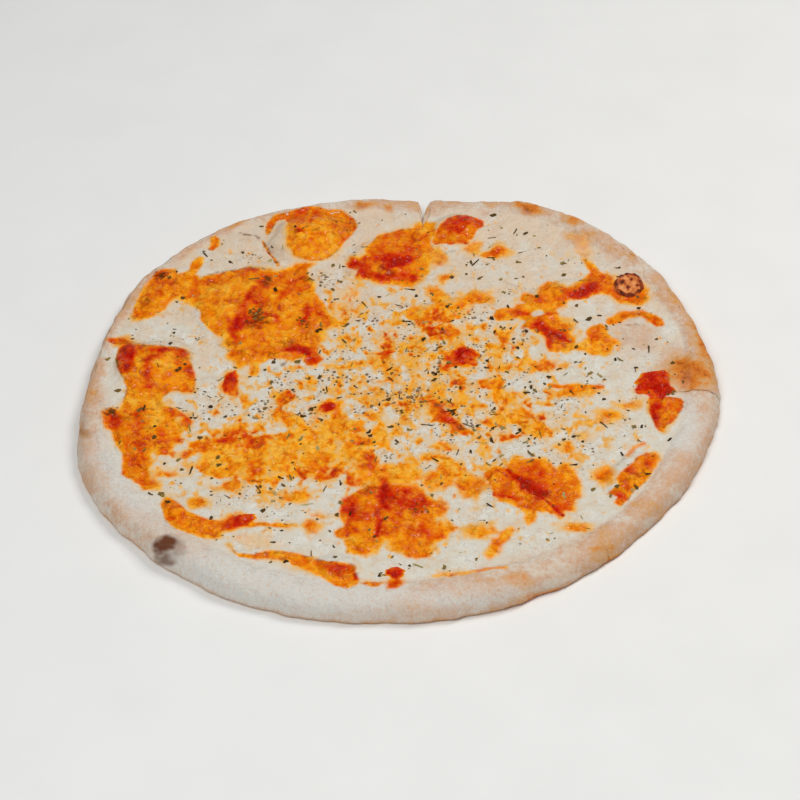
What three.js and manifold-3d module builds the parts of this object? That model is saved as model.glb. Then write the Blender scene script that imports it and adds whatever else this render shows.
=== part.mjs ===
// A round thin-crust pizza, cut into eight slices that still lie together: a hand-stretched
// base with a puffed rim, a layer of melted cheese flecked with dried oregano, pools and
// blisters of tomato sauce, a few bits of tomato and one browned slice of sausage.
// Millimetres, +Z up, +Y away from the eater, the origin under the middle of the base.

import * as THREE from "three";
import { mergeVertices } from "three/addons/utils/BufferGeometryUtils.js";
import Module from "manifold-3d";

const wasm = await Module();
wasm.setup();

// Heights above the table
const FLOOR_HEIGHT = 5;
const CHEESE_HEIGHT = 8.3;
const CHEESE_SWELL = 0.4;

// The rim differs all the way round: outer radius, width and height,
// at equal steps anticlockwise from +X
const RIM_STATIONS = [
  [149.5, 17, 10],
  [149.5, 10.5, 9.5],
  [156, 16, 9.5],
  [157.5, 12.5, 10],
  [149, 15, 10],
  [148, 8.5, 10],
  [154.5, 7, 9],
  [155, 9, 9],
  [148.5, 6.5, 9],
  [148.5, 11.5, 9.5],
  [153, 17.5, 10],
  [149, 17, 10.5],
  [147, 17.5, 10.5],
  [143, 17, 10],
  [142, 18.5, 10.5],
  [141, 16.5, 10],
  [140.5, 12, 10],
  [144.5, 15.5, 10],
];

// The rim's section: how far across it, from its inner foot at 0 to its outside at 1,
// and the height there as a share of the rim's own
const RIM_SECTION = [
  [0.8, 0],
  [0.92, 0.03],
  [0.98, 0.12],
  [1, 0.27],
  [0.97, 0.45],
  [0.91, 0.64],
  [0.8, 0.83],
  [0.64, 0.96],
  [0.46, 1],
  [0.26, 0.92],
  [0.1, 0.76],
];

// Bubbles baked into the rim: middle, radius and rise
const RIM_BUBBLES = [
  { at: [-105, -97], radius: 9, rise: 1.6 },
  { at: [-142, -14], radius: 9, rise: 1.1 },
  { at: [-15, 140], radius: 8, rise: 1.2 },
  { at: [66, 137], radius: 10, rise: 1.3 },
  { at: [88, 126], radius: 9, rise: 1.1 },
  { at: [138, 12], radius: 10, rise: 1.2 },
  { at: [128, -60], radius: 12, rise: 1.0 },
  { at: [40, -132], radius: 12, rise: 0.9 },
];

// Knife cuts from the middle to the rim: direction in degrees and how wide each gapes there
const CUTS = [
  { angle: -2, gape: 0.5 },
  { angle: 41, gape: 0.3 },
  { angle: 84, gape: 4.2 },
  { angle: 120, gape: 0.3 },
  { angle: 185, gape: 0.3 },
  { angle: 222, gape: 0.3 },
  { angle: 263, gape: 0.6 },
  { angle: 310, gape: 0.5 },
];
const KERF = 0.6;
const GAPE_START = 112;
const GAPE_LENGTH = 35;
const TIP_RADIUS = 2;

// Clearances between neighbouring pieces
const REST_GAP = 0.3;
const TOPPING_GAP = 0.4;

// Fineness of the surfaces
const CRUST_STEP_DEGREES = 4;
const CHEESE_STEP_DEGREES = 5;
const CHEESE_RINGS = 14;
const MERGE_DISTANCE = 1e-4;

// A topping this long or longer gets the finer ball
const LARGE_TOPPING = 30;
const FINE_BALL = [18, 8];
const COARSE_BALL = [12, 6];

// What lies on the cheese: middle, length and width, turn in degrees, rise above the cheese
const TOPPINGS = [
  { name: "sauce_blister_back", kind: "sauce", at: [-42, 116], size: [44, 36], turn: 15, rise: 6 },
  { name: "sauce_pool_back_left", kind: "sauce", at: [-67, 61], size: [74, 56], turn: -72, rise: 3 },
  { name: "sauce_tongue_back_left", kind: "sauce", at: [-114, 78.5], size: [40, 15], turn: 74, rise: 2.6 },
  { name: "sauce_blister_left", kind: "sauce", at: [-116, 26], size: [38, 31], turn: -15, rise: 6 },
  { name: "sauce_pool_left", kind: "sauce", at: [-119, -24], size: [56, 27], turn: -78, rise: 2.6 },
  { name: "sauce_band_left", kind: "sauce", at: [-97, -79], size: [33, 11], turn: -46, rise: 2.4 },
  { name: "tomato_front_left", kind: "tomato", at: [-73, -84], size: [18, 9], turn: 22, rise: 2.2 },
  { name: "sauce_band_front", kind: "sauce", at: [-60, -106], size: [32, 8], turn: -10, rise: 2 },
  { name: "sauce_blister_front", kind: "sauce", at: [-30, -115], size: [24, 14], turn: -28, rise: 3.8 },
  { name: "tomato_front", kind: "tomato", at: [-4, -119], size: [10, 8], turn: 10, rise: 2.4 },
  { name: "sauce_pool_front", kind: "sauce", at: [-4, -84], size: [50, 44], turn: 70, rise: 2.6 },
  { name: "sauce_pool_front_right", kind: "sauce", at: [57, -62], size: [46, 41], turn: -50, rise: 2.6 },
  { name: "sauce_spot_front_right", kind: "sauce", at: [33, -94], size: [12, 9], turn: 0, rise: 1.8 },
  { name: "sauce_blister_right", kind: "sauce", at: [102, -61], size: [37, 12], turn: 58, rise: 3.6 },
  { name: "tomato_right", kind: "tomato", at: [118, 5], size: [17, 14], turn: 30, rise: 3 },
  { name: "sauce_chip_right", kind: "sauce", at: [122, -18], size: [25, 13], turn: 75, rise: 3 },
  { name: "sauce_pool_right", kind: "sauce", at: [72, 39], size: [32, 24], turn: -60, rise: 2.4 },
  { name: "sauce_pool_back_right", kind: "sauce", at: [80, 69], size: [40, 17], turn: 14, rise: 2.6 },
  { name: "sausage_slice", kind: "sausage", at: [111.5, 71], size: [14, 15], turn: 0, rise: 2.6 },
  { name: "sauce_pool_back", kind: "sauce", at: [-7, 99], size: [42, 31], turn: 80, rise: 3 },
  { name: "sauce_blister_back_right", kind: "sauce", at: [30, 119], size: [30, 22], turn: 12, rise: 4.2 },
  { name: "sauce_spot_back", kind: "sauce", at: [51, 103], size: [12, 9], turn: 0, rise: 1.8 },
  { name: "sauce_pool_middle", kind: "sauce", at: [21, 54], size: [30, 24], turn: 60, rise: 1.8 },
  { name: "sauce_spot_middle", kind: "sauce", at: [40, 69], size: [14, 9], turn: 5, rise: 1.8 },
  { name: "tomato_middle", kind: "tomato", at: [30, 26], size: [13, 10], turn: 25, rise: 2.2 },
  { name: "tomato_left", kind: "tomato", at: [-79, 11], size: [18, 8], turn: 72, rise: 2.2 },
  { name: "tomato_front_middle", kind: "tomato", at: [-34, -9], size: [11, 8], turn: 40, rise: 1.8 },
];
const TOPPING_EDGE = 0.5;

// Each kind's colour, roughness, dome (a low power gives a flat top) and how lobed its edge is
const KINDS = {
  crust: { colour: 0xe2cdb4, roughness: 0.85 },
  cheese: { colour: 0xe9dcc0, roughness: 0.45 },
  sauce: { colour: 0xd8711c, roughness: 0.35, dome: 0.75, lobes: [0.09, 0.06, 0.035] },
  tomato: { colour: 0xb8271a, roughness: 0.3, dome: 0.75, lobes: [0.09, 0.06, 0.035] },
  sausage: { colour: 0x9a5a2c, roughness: 0.4, dome: 0.2, lobes: [] },
};

// Cutting the toppings: the wedge's reach and height, and volumes in cubic millimetres
const WEDGE_REACH = 220;
const WEDGE_HEIGHT = 40;
const CUT_CLEARANCE = KERF / 2 + 0.1;
const SMALLEST_PIECE = 40;
const UNCUT_LOSS = 0.01;

// Dried oregano, fused to the cheese
const FLAKES_PER_SLICE = 11;
const FLAKE_LENGTH = [2.4, 4.2];
const FLAKE_WIDTH = [1.1, 1.7];
const FLAKE_THICKNESS = 0.9;
const FLAKE_LIFT = 0.15;
const FLAKE_RADII = [10, 112];
const FLAKE_CROWDING = 0.7;
const FLAKE_SPACING = 7;
const FLAKE_MARGIN = 3.5;
const FLAKE_ATTEMPTS = 400;
const FLAKE_SEED = 20;

const rimCurve = new THREE.CatmullRomCurve3(
  RIM_STATIONS.map((station) => new THREE.Vector3(...station)),
  true,
);

// The rim's outer radius, width and height in one direction
function rimAt(angle) {
  const turn = angle / (2 * Math.PI);
  const rim = rimCurve.getPoint(turn - Math.floor(turn));
  return { radius: rim.x, width: rim.y, height: rim.z };
}

function cheeseEdge(angle) {
  const rim = rimAt(angle);
  return rim.radius - rim.width - TOPPING_GAP;
}

// The melted cheese swells and sinks gently over the base
function cheeseTop(x, y) {
  const swell = Math.sin(x / 13 + 1.1) * Math.cos(y / 11 - 0.4);
  const roll = 0.6 * Math.sin((x + 1.7 * y) / 17);
  return CHEESE_HEIGHT + CHEESE_SWELL * (swell + roll);
}

function bubbleRise(x, y) {
  let rise = 0;
  for (const bubble of RIM_BUBBLES) {
    const apart = Math.hypot(x - bubble.at[0], y - bubble.at[1]) / bubble.radius;
    rise += bubble.rise * Math.exp(-apart * apart);
  }
  return rise;
}

// Half the gap that a cut leaves at a distance from the middle
function halfGap(cut, radius) {
  const opening = THREE.MathUtils.smoothstep(radius, GAPE_START, GAPE_START + GAPE_LENGTH);
  return (KERF + cut.gape * opening) / 2;
}

// Neighbouring cuts bound a slice; the last slice closes the round
const slices = CUTS.map((cut, index) => {
  const next = CUTS[(index + 1) % CUTS.length];
  const wrap = index + 1 === CUTS.length ? 360 : 0;
  return {
    number: index + 1,
    startCut: cut,
    endCut: next,
    start: THREE.MathUtils.degToRad(cut.angle),
    end: THREE.MathUtils.degToRad(next.angle + wrap),
  };
});

// A closed outline drawn as [along, up] pairs
function closedShape(outline) {
  return new THREE.Shape(outline.map(([along, up]) => new THREE.Vector2(along, up)));
}

// A slice is its section, swept clockwise from its end cut to its start cut.
// place(along, up, angle) gives the radius and the height rule of each section point.
function sweepSlice(section, slice, stepDegrees, place) {
  const spread = THREE.MathUtils.radToDeg(slice.end - slice.start);
  const geometry = new THREE.ExtrudeGeometry(closedShape(section), {
    depth: 1,
    steps: Math.round(spread / stepDegrees),
    bevelEnabled: false,
  });
  const positions = geometry.attributes.position;
  for (let i = 0; i < positions.count; i += 1) {
    const sweep = positions.getZ(i);
    const middle = THREE.MathUtils.lerp(slice.end, slice.start, sweep);
    const point = place(positions.getX(i), positions.getY(i), middle);
    const first = slice.start + Math.asin(halfGap(slice.startCut, point.radius) / point.radius);
    const last = slice.end - Math.asin(halfGap(slice.endCut, point.radius) / point.radius);
    const angle = THREE.MathUtils.lerp(last, first, sweep);
    const x = point.radius * Math.cos(angle);
    const y = point.radius * Math.sin(angle);
    positions.setXYZ(i, x, y, point.height(x, y));
  }
  return closedSolid(geometry);
}

// Merges the shared corners, so that the surface is one closed body
function closedSolid(geometry) {
  geometry.deleteAttribute("normal");
  geometry.deleteAttribute("uv");
  const solid = mergeVertices(geometry, MERGE_DISTANCE);
  solid.computeVertexNormals();
  return solid;
}

// Section of a dough slice: along is 0 at the tip, 1 at the rim's foot and 2 at its outside
function crustSection() {
  const rim = RIM_SECTION.map(([across, share]) => [1 + across, share]);
  return [[0, 0], [1, 0], ...rim, [1, 1], [0, 1]];
}

function crustSolid(slice) {
  return sweepSlice(crustSection(), slice, CRUST_STEP_DEGREES, (along, up, angle) => {
    const rim = rimAt(angle);
    const foot = rim.radius - rim.width;
    const onFloor = along <= 1;
    const radius = onFloor ? THREE.MathUtils.lerp(TIP_RADIUS, foot, along) : foot + (along - 1) * rim.width;
    const height = onFloor ? up * FLOOR_HEIGHT : up * rim.height;
    const puff = onFloor || up < 0.5 ? 0 : 1;
    return { radius, height: (x, y) => height + puff * bubbleRise(x, y) };
  });
}

// Section of a cheese slice: along from the tip to the edge, up from its underside to its top
function cheeseSection() {
  const top = [];
  for (let ring = CHEESE_RINGS - 1; ring >= 0; ring -= 1) {
    top.push([ring / CHEESE_RINGS, 1]);
  }
  return [[0, 0], [1, 0], [1, 0.45], [0.98, 0.85], ...top];
}

function cheeseSolid(slice) {
  const underside = FLOOR_HEIGHT + REST_GAP;
  return sweepSlice(cheeseSection(), slice, CHEESE_STEP_DEGREES, (along, up, angle) => ({
    radius: THREE.MathUtils.lerp(TIP_RADIUS, cheeseEdge(angle), along),
    height: (x, y) => THREE.MathUtils.lerp(underside, cheeseTop(x, y), up),
  }));
}

// A topping's edge wanders in and out in a few lobes, which its place sets
function toppingEdge(topping, bearing) {
  const phase = 0.11 * topping.at[0] + 0.07 * topping.at[1];
  return KINDS[topping.kind].lobes.reduce(
    (edge, share, k) => edge + share * Math.cos((k + 2) * bearing + (k + 1.3) * phase),
    1,
  );
}

// How far a point is from a topping's middle, as a share of its edge there
function toppingShare(topping, x, y) {
  const turn = THREE.MathUtils.degToRad(topping.turn);
  const offset = new THREE.Vector2(x - topping.at[0], y - topping.at[1]);
  offset.rotateAround(new THREE.Vector2(), -turn);
  offset.divide(new THREE.Vector2(topping.size[0] / 2, topping.size[1] / 2));
  return offset.length() / toppingEdge(topping, Math.atan2(offset.y, offset.x));
}

// A pool or blister is a ball pressed onto the cheese: a flat underside that follows the
// cheese, a thin edge and a dome. A sausage slice is the same with a flat top.
function toppingSolid(topping) {
  const fineness = topping.size[0] >= LARGE_TOPPING ? FINE_BALL : COARSE_BALL;
  const geometry = new THREE.SphereGeometry(1, ...fineness);
  geometry.rotateX(Math.PI / 2);
  const turn = THREE.MathUtils.degToRad(topping.turn);
  const positions = geometry.attributes.position;
  for (let i = 0; i < positions.count; i += 1) {
    const spot = new THREE.Vector2(positions.getX(i), positions.getY(i));
    const share = Math.min(1, spot.length());
    const edge = toppingEdge(topping, Math.atan2(spot.y, spot.x));
    spot.multiply(new THREE.Vector2(topping.size[0] / 2, topping.size[1] / 2)).multiplyScalar(edge);
    spot.rotateAround(new THREE.Vector2(), turn);
    const x = topping.at[0] + spot.x;
    const y = topping.at[1] + spot.y;
    const dome = Math.pow(1 - share ** 2, KINDS[topping.kind].dome);
    const isUnderside = positions.getZ(i) < -MERGE_DISTANCE;
    const lift = isUnderside ? 0 : THREE.MathUtils.lerp(TOPPING_EDGE, topping.rise, dome);
    positions.setXYZ(i, x, y, cheeseTop(x, y) + TOPPING_GAP + lift);
  }
  return closedSolid(geometry);
}

function toManifold(geometry) {
  return new wasm.Manifold(new wasm.Mesh({
    numProp: 3,
    vertProperties: new Float32Array(geometry.attributes.position.array),
    triVerts: new Uint32Array(geometry.index.array),
  }));
}

function fromManifold(solid) {
  const mesh = solid.getMesh();
  const geometry = new THREE.BufferGeometry();
  geometry.setAttribute("position", new THREE.BufferAttribute(mesh.vertProperties, 3));
  geometry.setIndex(new THREE.BufferAttribute(mesh.triVerts, 1));
  geometry.computeVertexNormals();
  return geometry;
}

// The upright wedge that holds everything between a slice's two cuts, clear of both
function sliceWedge(slice) {
  const middle = (slice.start + slice.end) / 2;
  const tip = CUT_CLEARANCE / Math.sin((slice.end - slice.start) / 2);
  const corner = (angle, distance) => new THREE.Vector2(
    tip * Math.cos(middle) + distance * Math.cos(angle),
    tip * Math.sin(middle) + distance * Math.sin(angle),
  );
  const shape = new THREE.Shape([
    corner(middle, 0),
    corner(slice.start, WEDGE_REACH),
    corner(middle, WEDGE_REACH),
    corner(slice.end, WEDGE_REACH),
  ]);
  return closedSolid(new THREE.ExtrudeGeometry(shape, { depth: WEDGE_HEIGHT, bevelEnabled: false }));
}

// A topping that a knife has crossed falls into one piece for each slice it lies on
function cutTopping(topping) {
  const whole = toManifold(toppingSolid(topping));
  const pieces = [];
  for (const slice of slices) {
    const piece = whole.intersect(toManifold(sliceWedge(slice)));
    if (piece.volume() > SMALLEST_PIECE) {
      pieces.push(piece);
    }
  }
  const uncut = pieces.length === 1 && whole.volume() - pieces[0].volume() < UNCUT_LOSS;
  return uncut ? [toppingSolid(topping)] : pieces.map(fromManifold);
}

// Mulberry32: an even, repeatable stream of numbers from 0 to 1
function seededRandom(seed) {
  let state = seed;
  return () => {
    state = (state + 0x6d2b79f5) | 0;
    let mixed = Math.imul(state ^ (state >>> 15), 1 | state);
    mixed = (mixed + Math.imul(mixed ^ (mixed >>> 7), 61 | mixed)) ^ mixed;
    return ((mixed ^ (mixed >>> 14)) >>> 0) / 4294967296;
  };
}

// A flake keeps clear of the cuts, of every topping and of its neighbours
function flakeFits(x, y, slice, placed) {
  const radius = Math.hypot(x, y);
  const angle = Math.atan2(y, x);
  const turnFrom = (bound) => Math.abs(radius * Math.sin(angle - bound));
  const clearOfCuts = Math.min(turnFrom(slice.start), turnFrom(slice.end)) > FLAKE_MARGIN;
  const clearOfToppings = TOPPINGS.every(
    (topping) => toppingShare(topping, x, y) > 1 + (2 * FLAKE_MARGIN) / topping.size[1],
  );
  const clearOfOthers = placed.every((other) => Math.hypot(x - other.x, y - other.y) > FLAKE_SPACING);
  return clearOfCuts && clearOfToppings && clearOfOthers;
}

function flakeSolid(x, y, random) {
  const length = THREE.MathUtils.lerp(...FLAKE_LENGTH, random());
  const width = THREE.MathUtils.lerp(...FLAKE_WIDTH, random());
  const geometry = new THREE.OctahedronGeometry(1);
  geometry.scale(length / 2, width / 2, FLAKE_THICKNESS / 2);
  geometry.rotateZ(Math.PI * random());
  geometry.translate(x, y, cheeseTop(x, y) + FLAKE_LIFT);
  return closedSolid(geometry);
}

// Flakes lie thickest round the middle and thin out towards the rim
function cheeseWithFlakes(slice, random) {
  let cheese = toManifold(cheeseSolid(slice));
  const placed = [];
  for (let attempt = 0; attempt < FLAKE_ATTEMPTS && placed.length < FLAKES_PER_SLICE; attempt += 1) {
    const radius = THREE.MathUtils.lerp(...FLAKE_RADII, Math.pow(random(), FLAKE_CROWDING));
    const angle = THREE.MathUtils.lerp(slice.start, slice.end, random());
    const x = radius * Math.cos(angle);
    const y = radius * Math.sin(angle);
    if (flakeFits(x, y, slice, placed)) {
      placed.push({ x, y });
      cheese = cheese.add(toManifold(flakeSolid(x, y, random)));
    }
  }
  return fromManifold(cheese);
}

function namedMesh(name, geometry, kind) {
  const material = new THREE.MeshStandardMaterial({
    color: KINDS[kind].colour,
    roughness: KINDS[kind].roughness,
    metalness: 0,
  });
  const mesh = new THREE.Mesh(geometry, material);
  mesh.name = name;
  return mesh;
}

const pizza = new THREE.Group();
const random = seededRandom(FLAKE_SEED);

for (const slice of slices) {
  pizza.add(namedMesh(`crust_${slice.number}`, crustSolid(slice), "crust"));
  pizza.add(namedMesh(`cheese_${slice.number}`, cheeseWithFlakes(slice, random), "cheese"));
}

for (const topping of TOPPINGS) {
  const pieces = cutTopping(topping);
  pieces.forEach((geometry, index) => {
    const name = pieces.length === 1 ? topping.name : `${topping.name}_${index + 1}`;
    pizza.add(namedMesh(name, geometry, topping.kind));
  });
}

// Slide the whole so that the origin is under the middle of its box
const box = new THREE.Box3().setFromObject(pizza);
const middle = box.getCenter(new THREE.Vector3());
pizza.position.set(-middle.x, -middle.y, 0);

export default pizza;
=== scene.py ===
# %% [markdown]
# # A round pizza, cut and left lying together
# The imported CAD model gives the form: eight slices of dough with a puffed rim, eight slices of melted
# cheese, and the sauce, tomato and sausage that lie on them. This lesson gives each of them its look.
# A pizza has no repeated parts to copy, so most of it is made from a few fields: functions of a place
# on the pizza that say how high it is and how much sauce, browning or flour lies there.

# %% The frame
import math

import bpy
import numpy as np
from mathutils import Matrix, Vector
from mathutils.bvhtree import BVHTree


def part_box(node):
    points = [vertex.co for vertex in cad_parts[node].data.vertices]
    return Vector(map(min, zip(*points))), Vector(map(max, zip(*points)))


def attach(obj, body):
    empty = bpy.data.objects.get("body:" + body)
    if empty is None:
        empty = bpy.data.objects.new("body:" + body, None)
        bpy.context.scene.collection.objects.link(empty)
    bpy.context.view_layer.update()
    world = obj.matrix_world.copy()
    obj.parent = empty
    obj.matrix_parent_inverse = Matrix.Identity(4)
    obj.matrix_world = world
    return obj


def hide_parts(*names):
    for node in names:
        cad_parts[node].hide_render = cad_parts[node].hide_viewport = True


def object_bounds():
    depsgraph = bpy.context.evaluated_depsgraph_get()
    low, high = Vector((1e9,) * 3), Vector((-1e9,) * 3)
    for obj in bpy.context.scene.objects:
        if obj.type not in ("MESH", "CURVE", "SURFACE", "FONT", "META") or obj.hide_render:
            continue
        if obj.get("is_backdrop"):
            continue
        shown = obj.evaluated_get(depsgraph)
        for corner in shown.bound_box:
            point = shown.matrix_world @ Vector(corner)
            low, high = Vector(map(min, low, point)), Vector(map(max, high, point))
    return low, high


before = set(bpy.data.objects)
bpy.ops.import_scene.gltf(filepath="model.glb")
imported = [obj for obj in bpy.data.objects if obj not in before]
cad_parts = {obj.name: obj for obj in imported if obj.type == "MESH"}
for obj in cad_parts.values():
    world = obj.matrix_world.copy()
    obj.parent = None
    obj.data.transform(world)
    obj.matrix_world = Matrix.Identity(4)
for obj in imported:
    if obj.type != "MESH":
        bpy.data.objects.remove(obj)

cad_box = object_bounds()


def in_mm(box):
    """A box of metres in millimetres, rounded for printing."""
    return [[round(c * 1000, 1) for c in corner] for corner in box]


print("CAD box in mm", in_mm(cad_box))

# %% [markdown]
# ## Places on the pizza
# All the places below are in millimetres from the point where the knife cuts meet. The sausage slice
# was planned at a round number from that point, so its CAD box tells where the point is in the frame.

# %% The middle
SAUSAGE_PLAN = (111.5, 71.0)
low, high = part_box("sausage_slice")
middle = np.array([500 * (low[i] + high[i]) - SAUSAGE_PLAN[i] for i in (0, 1)])
print("the cuts meet at", middle.round(2))


def corners_of(node):
    """A CAD node's points in millimetres from the middle."""
    points = np.array([v.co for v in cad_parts[node].data.vertices]) * 1000
    points[:, :2] -= middle
    return points


# %% [markdown]
# ## Smooth random waves
# Dough, cheese and sauce are uneven at every size. Gradient noise gives smooth hills and hollows of a
# chosen width; adding half-size waves at half the height makes them look grown and not drawn.
# It is worked out with numpy, so that heights and colours can follow the same waves.

# %% Waves and steps
HASH_X = 374761393
HASH_Y = 668265263
HASH_SEED = 974634721
HASH_STIR = 1274126177
LOW_BITS = 0xFFFFFFFF
TURN_BITS = 0xFFFF
OCTAVE_SHIFT = (17.3, -9.1)
WAVE_GAIN = 1.5


def soft_step(start, end, value):
    """0 before start, 1 after end, and a smooth rise between."""
    t = np.clip((value - start) / (end - start), 0, 1)
    return t * t * (3 - 2 * t)


def waves(x, y, size, seed, octaves=1):
    """Smooth random hills about size millimetres wide, from about -1 to 1."""
    total = np.zeros(np.broadcast(x, y).shape)
    strength = 1.0
    for octave in range(octaves):
        u = x / size + OCTAVE_SHIFT[0] * octave
        v = y / size + OCTAVE_SHIFT[1] * octave
        i = np.floor(u).astype(np.int64)
        j = np.floor(v).astype(np.int64)
        fu = u - i
        fv = v - j
        slopes = []
        for di, dj in ((0, 0), (1, 0), (0, 1), (1, 1)):
            h = ((i + di) * HASH_X + (j + dj) * HASH_Y + (seed + octave) * HASH_SEED) & LOW_BITS
            h = ((h ^ (h >> 13)) * HASH_STIR) & LOW_BITS
            angle = ((h ^ (h >> 16)) & TURN_BITS) * (2 * math.pi / (TURN_BITS + 1))
            slopes.append(np.cos(angle) * (fu - di) + np.sin(angle) * (fv - dj))
        su = fu * fu * fu * (fu * (6 * fu - 15) + 10)
        sv = fv * fv * fv * (fv * (6 * fv - 15) + 10)
        near = slopes[0] + su * (slopes[1] - slopes[0])
        far = slopes[2] + su * (slopes[3] - slopes[2])
        total += strength * WAVE_GAIN * (near + sv * (far - near))
        strength *= 0.5
        size /= 2
    return total


def wave_sum(x, y, rows):
    """Waves of several sizes added up; a row is a height, a size, a seed and a number of octaves."""
    return sum(height * waves(x, y, *kind) for height, *kind in rows)


print("waves from", waves(np.arange(200.0), np.zeros(200), 9, 1, 3).min().round(2))

# %% [markdown]
# ## The rim's measures
# The dough is stretched by hand, so its rim differs all the way round. Its outer radius, width and
# height are read from the CAD crusts and cheeses at every second degree and smoothed a little.

# %% Rim radius, width and height
SLICES = range(1, 9)
CRUSTS = [f"crust_{number}" for number in SLICES]
CHEESES = [f"cheese_{number}" for number in SLICES]
TURN = np.arange(0, 360, 2.0)
NEAR_TURN = 3.5
SMOOTHING = (1, 2, 3, 2, 1)
CHEESE_GAP = 0.4


def bearing(x, y):
    """The direction of places from the middle, in degrees."""
    return np.degrees(np.arctan2(y, x))


def around(nodes, column):
    """The largest radius (column None) or height of some nodes near each direction, smoothed."""
    points = np.concatenate([corners_of(node) for node in nodes])
    size = np.hypot(points[:, 0], points[:, 1]) if column is None else points[:, column]
    angle = bearing(points[:, 0], points[:, 1]) % 360
    best = []
    for turn in TURN:
        apart = np.abs((angle - turn + 180) % 360 - 180)
        best.append(size[apart < NEAR_TURN].max())
    shares = enumerate(SMOOTHING, -(len(SMOOTHING) // 2))
    return sum(share * np.roll(best, -step) for step, share in shares) / sum(SMOOTHING)


rim_outer = around(CRUSTS, None)
rim_foot = around(CHEESES, None) + CHEESE_GAP
rim_height = around(CRUSTS, 2)
rim_width = rim_outer - rim_foot
print("rim radius", rim_outer.min().round(1), "to", rim_outer.max().round(1))
print("rim width", rim_width.min().round(1), "to", rim_width.max().round(1))

# The outline's own waves are read on a circle of about the pizza's size.
WAVE_CIRCLE = 150
OUTLINE_WAVES = ((0.8, 17, 5, 2), (0.3, 6, 9, 1))


def at_angle(table, angle):
    """A value of the rim in any direction, in degrees."""
    return np.interp(angle % 360, np.append(TURN, 360), np.append(table, table[0]))


def outer_at(angle):
    """The uneven outer radius of the rim in any direction, in degrees."""
    x = WAVE_CIRCLE * np.cos(np.radians(angle))
    y = WAVE_CIRCLE * np.sin(np.radians(angle))
    return at_angle(rim_outer, angle) + wave_sum(x, y, OUTLINE_WAVES)


# %% [markdown]
# ## The rim's section
# Cut across, the rim is a soft roll: it rises out of the cheese, is highest past the middle of its
# width, and turns under to the flat base. The CAD section is a chain of points; here a curve runs
# through them, so the roll has no edges.

# %% A smooth section
SECTION = [
    (0.0, 0.78), (0.12, 0.89), (0.28, 0.98), (0.44, 1.0), (0.6, 0.97), (0.75, 0.88), (0.87, 0.71),
    (0.95, 0.5), (1.0, 0.26), (0.985, 0.1), (0.93, 0.02), (0.82, 0.0),
]


def smooth_chain(points, steps):
    """A Catmull-Rom curve through points, with some steps between each two."""
    p = np.array([points[0], *points, points[-1]], float)
    t = np.linspace(0, 1, steps, endpoint=False)[:, None]
    runs = []
    for a, b, c, d in zip(p, p[1:], p[2:], p[3:]):
        runs.append(b + 0.5 * t * (c - a + t * (2 * a - 5 * b + 4 * c - d + t * (3 * (b - c) + d - a))))
    return np.concatenate([*runs, p[-1:]])


SECTION_STEPS = 5
section = smooth_chain(SECTION, SECTION_STEPS)
crest = int(section[:, 0].argmax())
print("section of", len(section), "points")

# %% [markdown]
# Real dough is lumpy. Waves of three sizes, sharp folds that are deepest at the back right, and a few
# bubbles (place, radius and rise) push its skin out and in. The waves lean with the height, so that the
# steep outer side doesn't show one wave from top to bottom.

# %% Lumps in the dough
RIM_BUBBLES = [
    (-105, -97, 9, 1.6), (-142, -14, 9, 1.1), (-15, 140, 8, 1.2), (66, 137, 10, 1.3), (88, 126, 9, 1.1),
    (138, 12, 10, 1.2), (128, -60, 12, 1.0), (40, -132, 12, 0.9),
]
DOUGH_WAVES = ((0.5, 16, 101, 2), (0.2, 5.5, 105, 2), (0.08, 1.9, 109, 1))
WAVE_LEAN = (0.6, -0.7)
FOLD_DEPTH = 0.8
FOLD_SHARPNESS = 6
BUBBLE_SHARE = 0.5
BUBBLE_SPREAD = 0.6
RIM_LEVEL = 9.0


def dough_lumps(x, y, z):
    """How far baked dough stands out of its plain section, in millimetres."""
    u = x + WAVE_LEAN[0] * z
    v = y + WAVE_LEAN[1] * z
    folded = 0.3 + 0.7 * soft_step(20, 120, x) * soft_step(-70, 20, y)
    folds = (1 - np.abs(waves(u, v, 10, 113, 2))) ** FOLD_SHARPNESS
    lumps = wave_sum(u, v, DOUGH_WAVES) - FOLD_DEPTH * folded * folds
    for bx, by, radius, rise in RIM_BUBBLES:
        apart = ((x - bx) ** 2 + (y - by) ** 2) / (BUBBLE_SPREAD * radius) ** 2
        lumps = lumps + BUBBLE_SHARE * rise * np.exp(-apart)
    return lumps


def crust_top(x, y):
    """Height of the dough's upper side, and the share of the rim's width from its foot."""
    radius = np.hypot(x, y)
    angle = bearing(x, y)
    foot = at_angle(rim_foot, angle)
    across = (radius - foot) / (outer_at(angle) - foot)
    share = np.interp(across, section[:crest, 0], section[:crest, 1])
    return at_angle(rim_height, angle) * share + dough_lumps(x, y, RIM_LEVEL), across


print(len(RIM_BUBBLES), "bubbles in the rim")

# %% [markdown]
# ## Where the sauce lies
# Seen from above, sauce has come up through the cheese in pools, streaks and spots. A pool is drawn as an
# outline, with the ripeness of its colour first (0 is oily yellow, 0.5 orange and 1 deep red) and then how
# far its edge frays. Edges are pushed about by waves, so that no line stays straight. The places were
# read off a view from 41.7 degrees at the cheese's level, so a place that stands higher is looked up a
# little further back.

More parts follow.
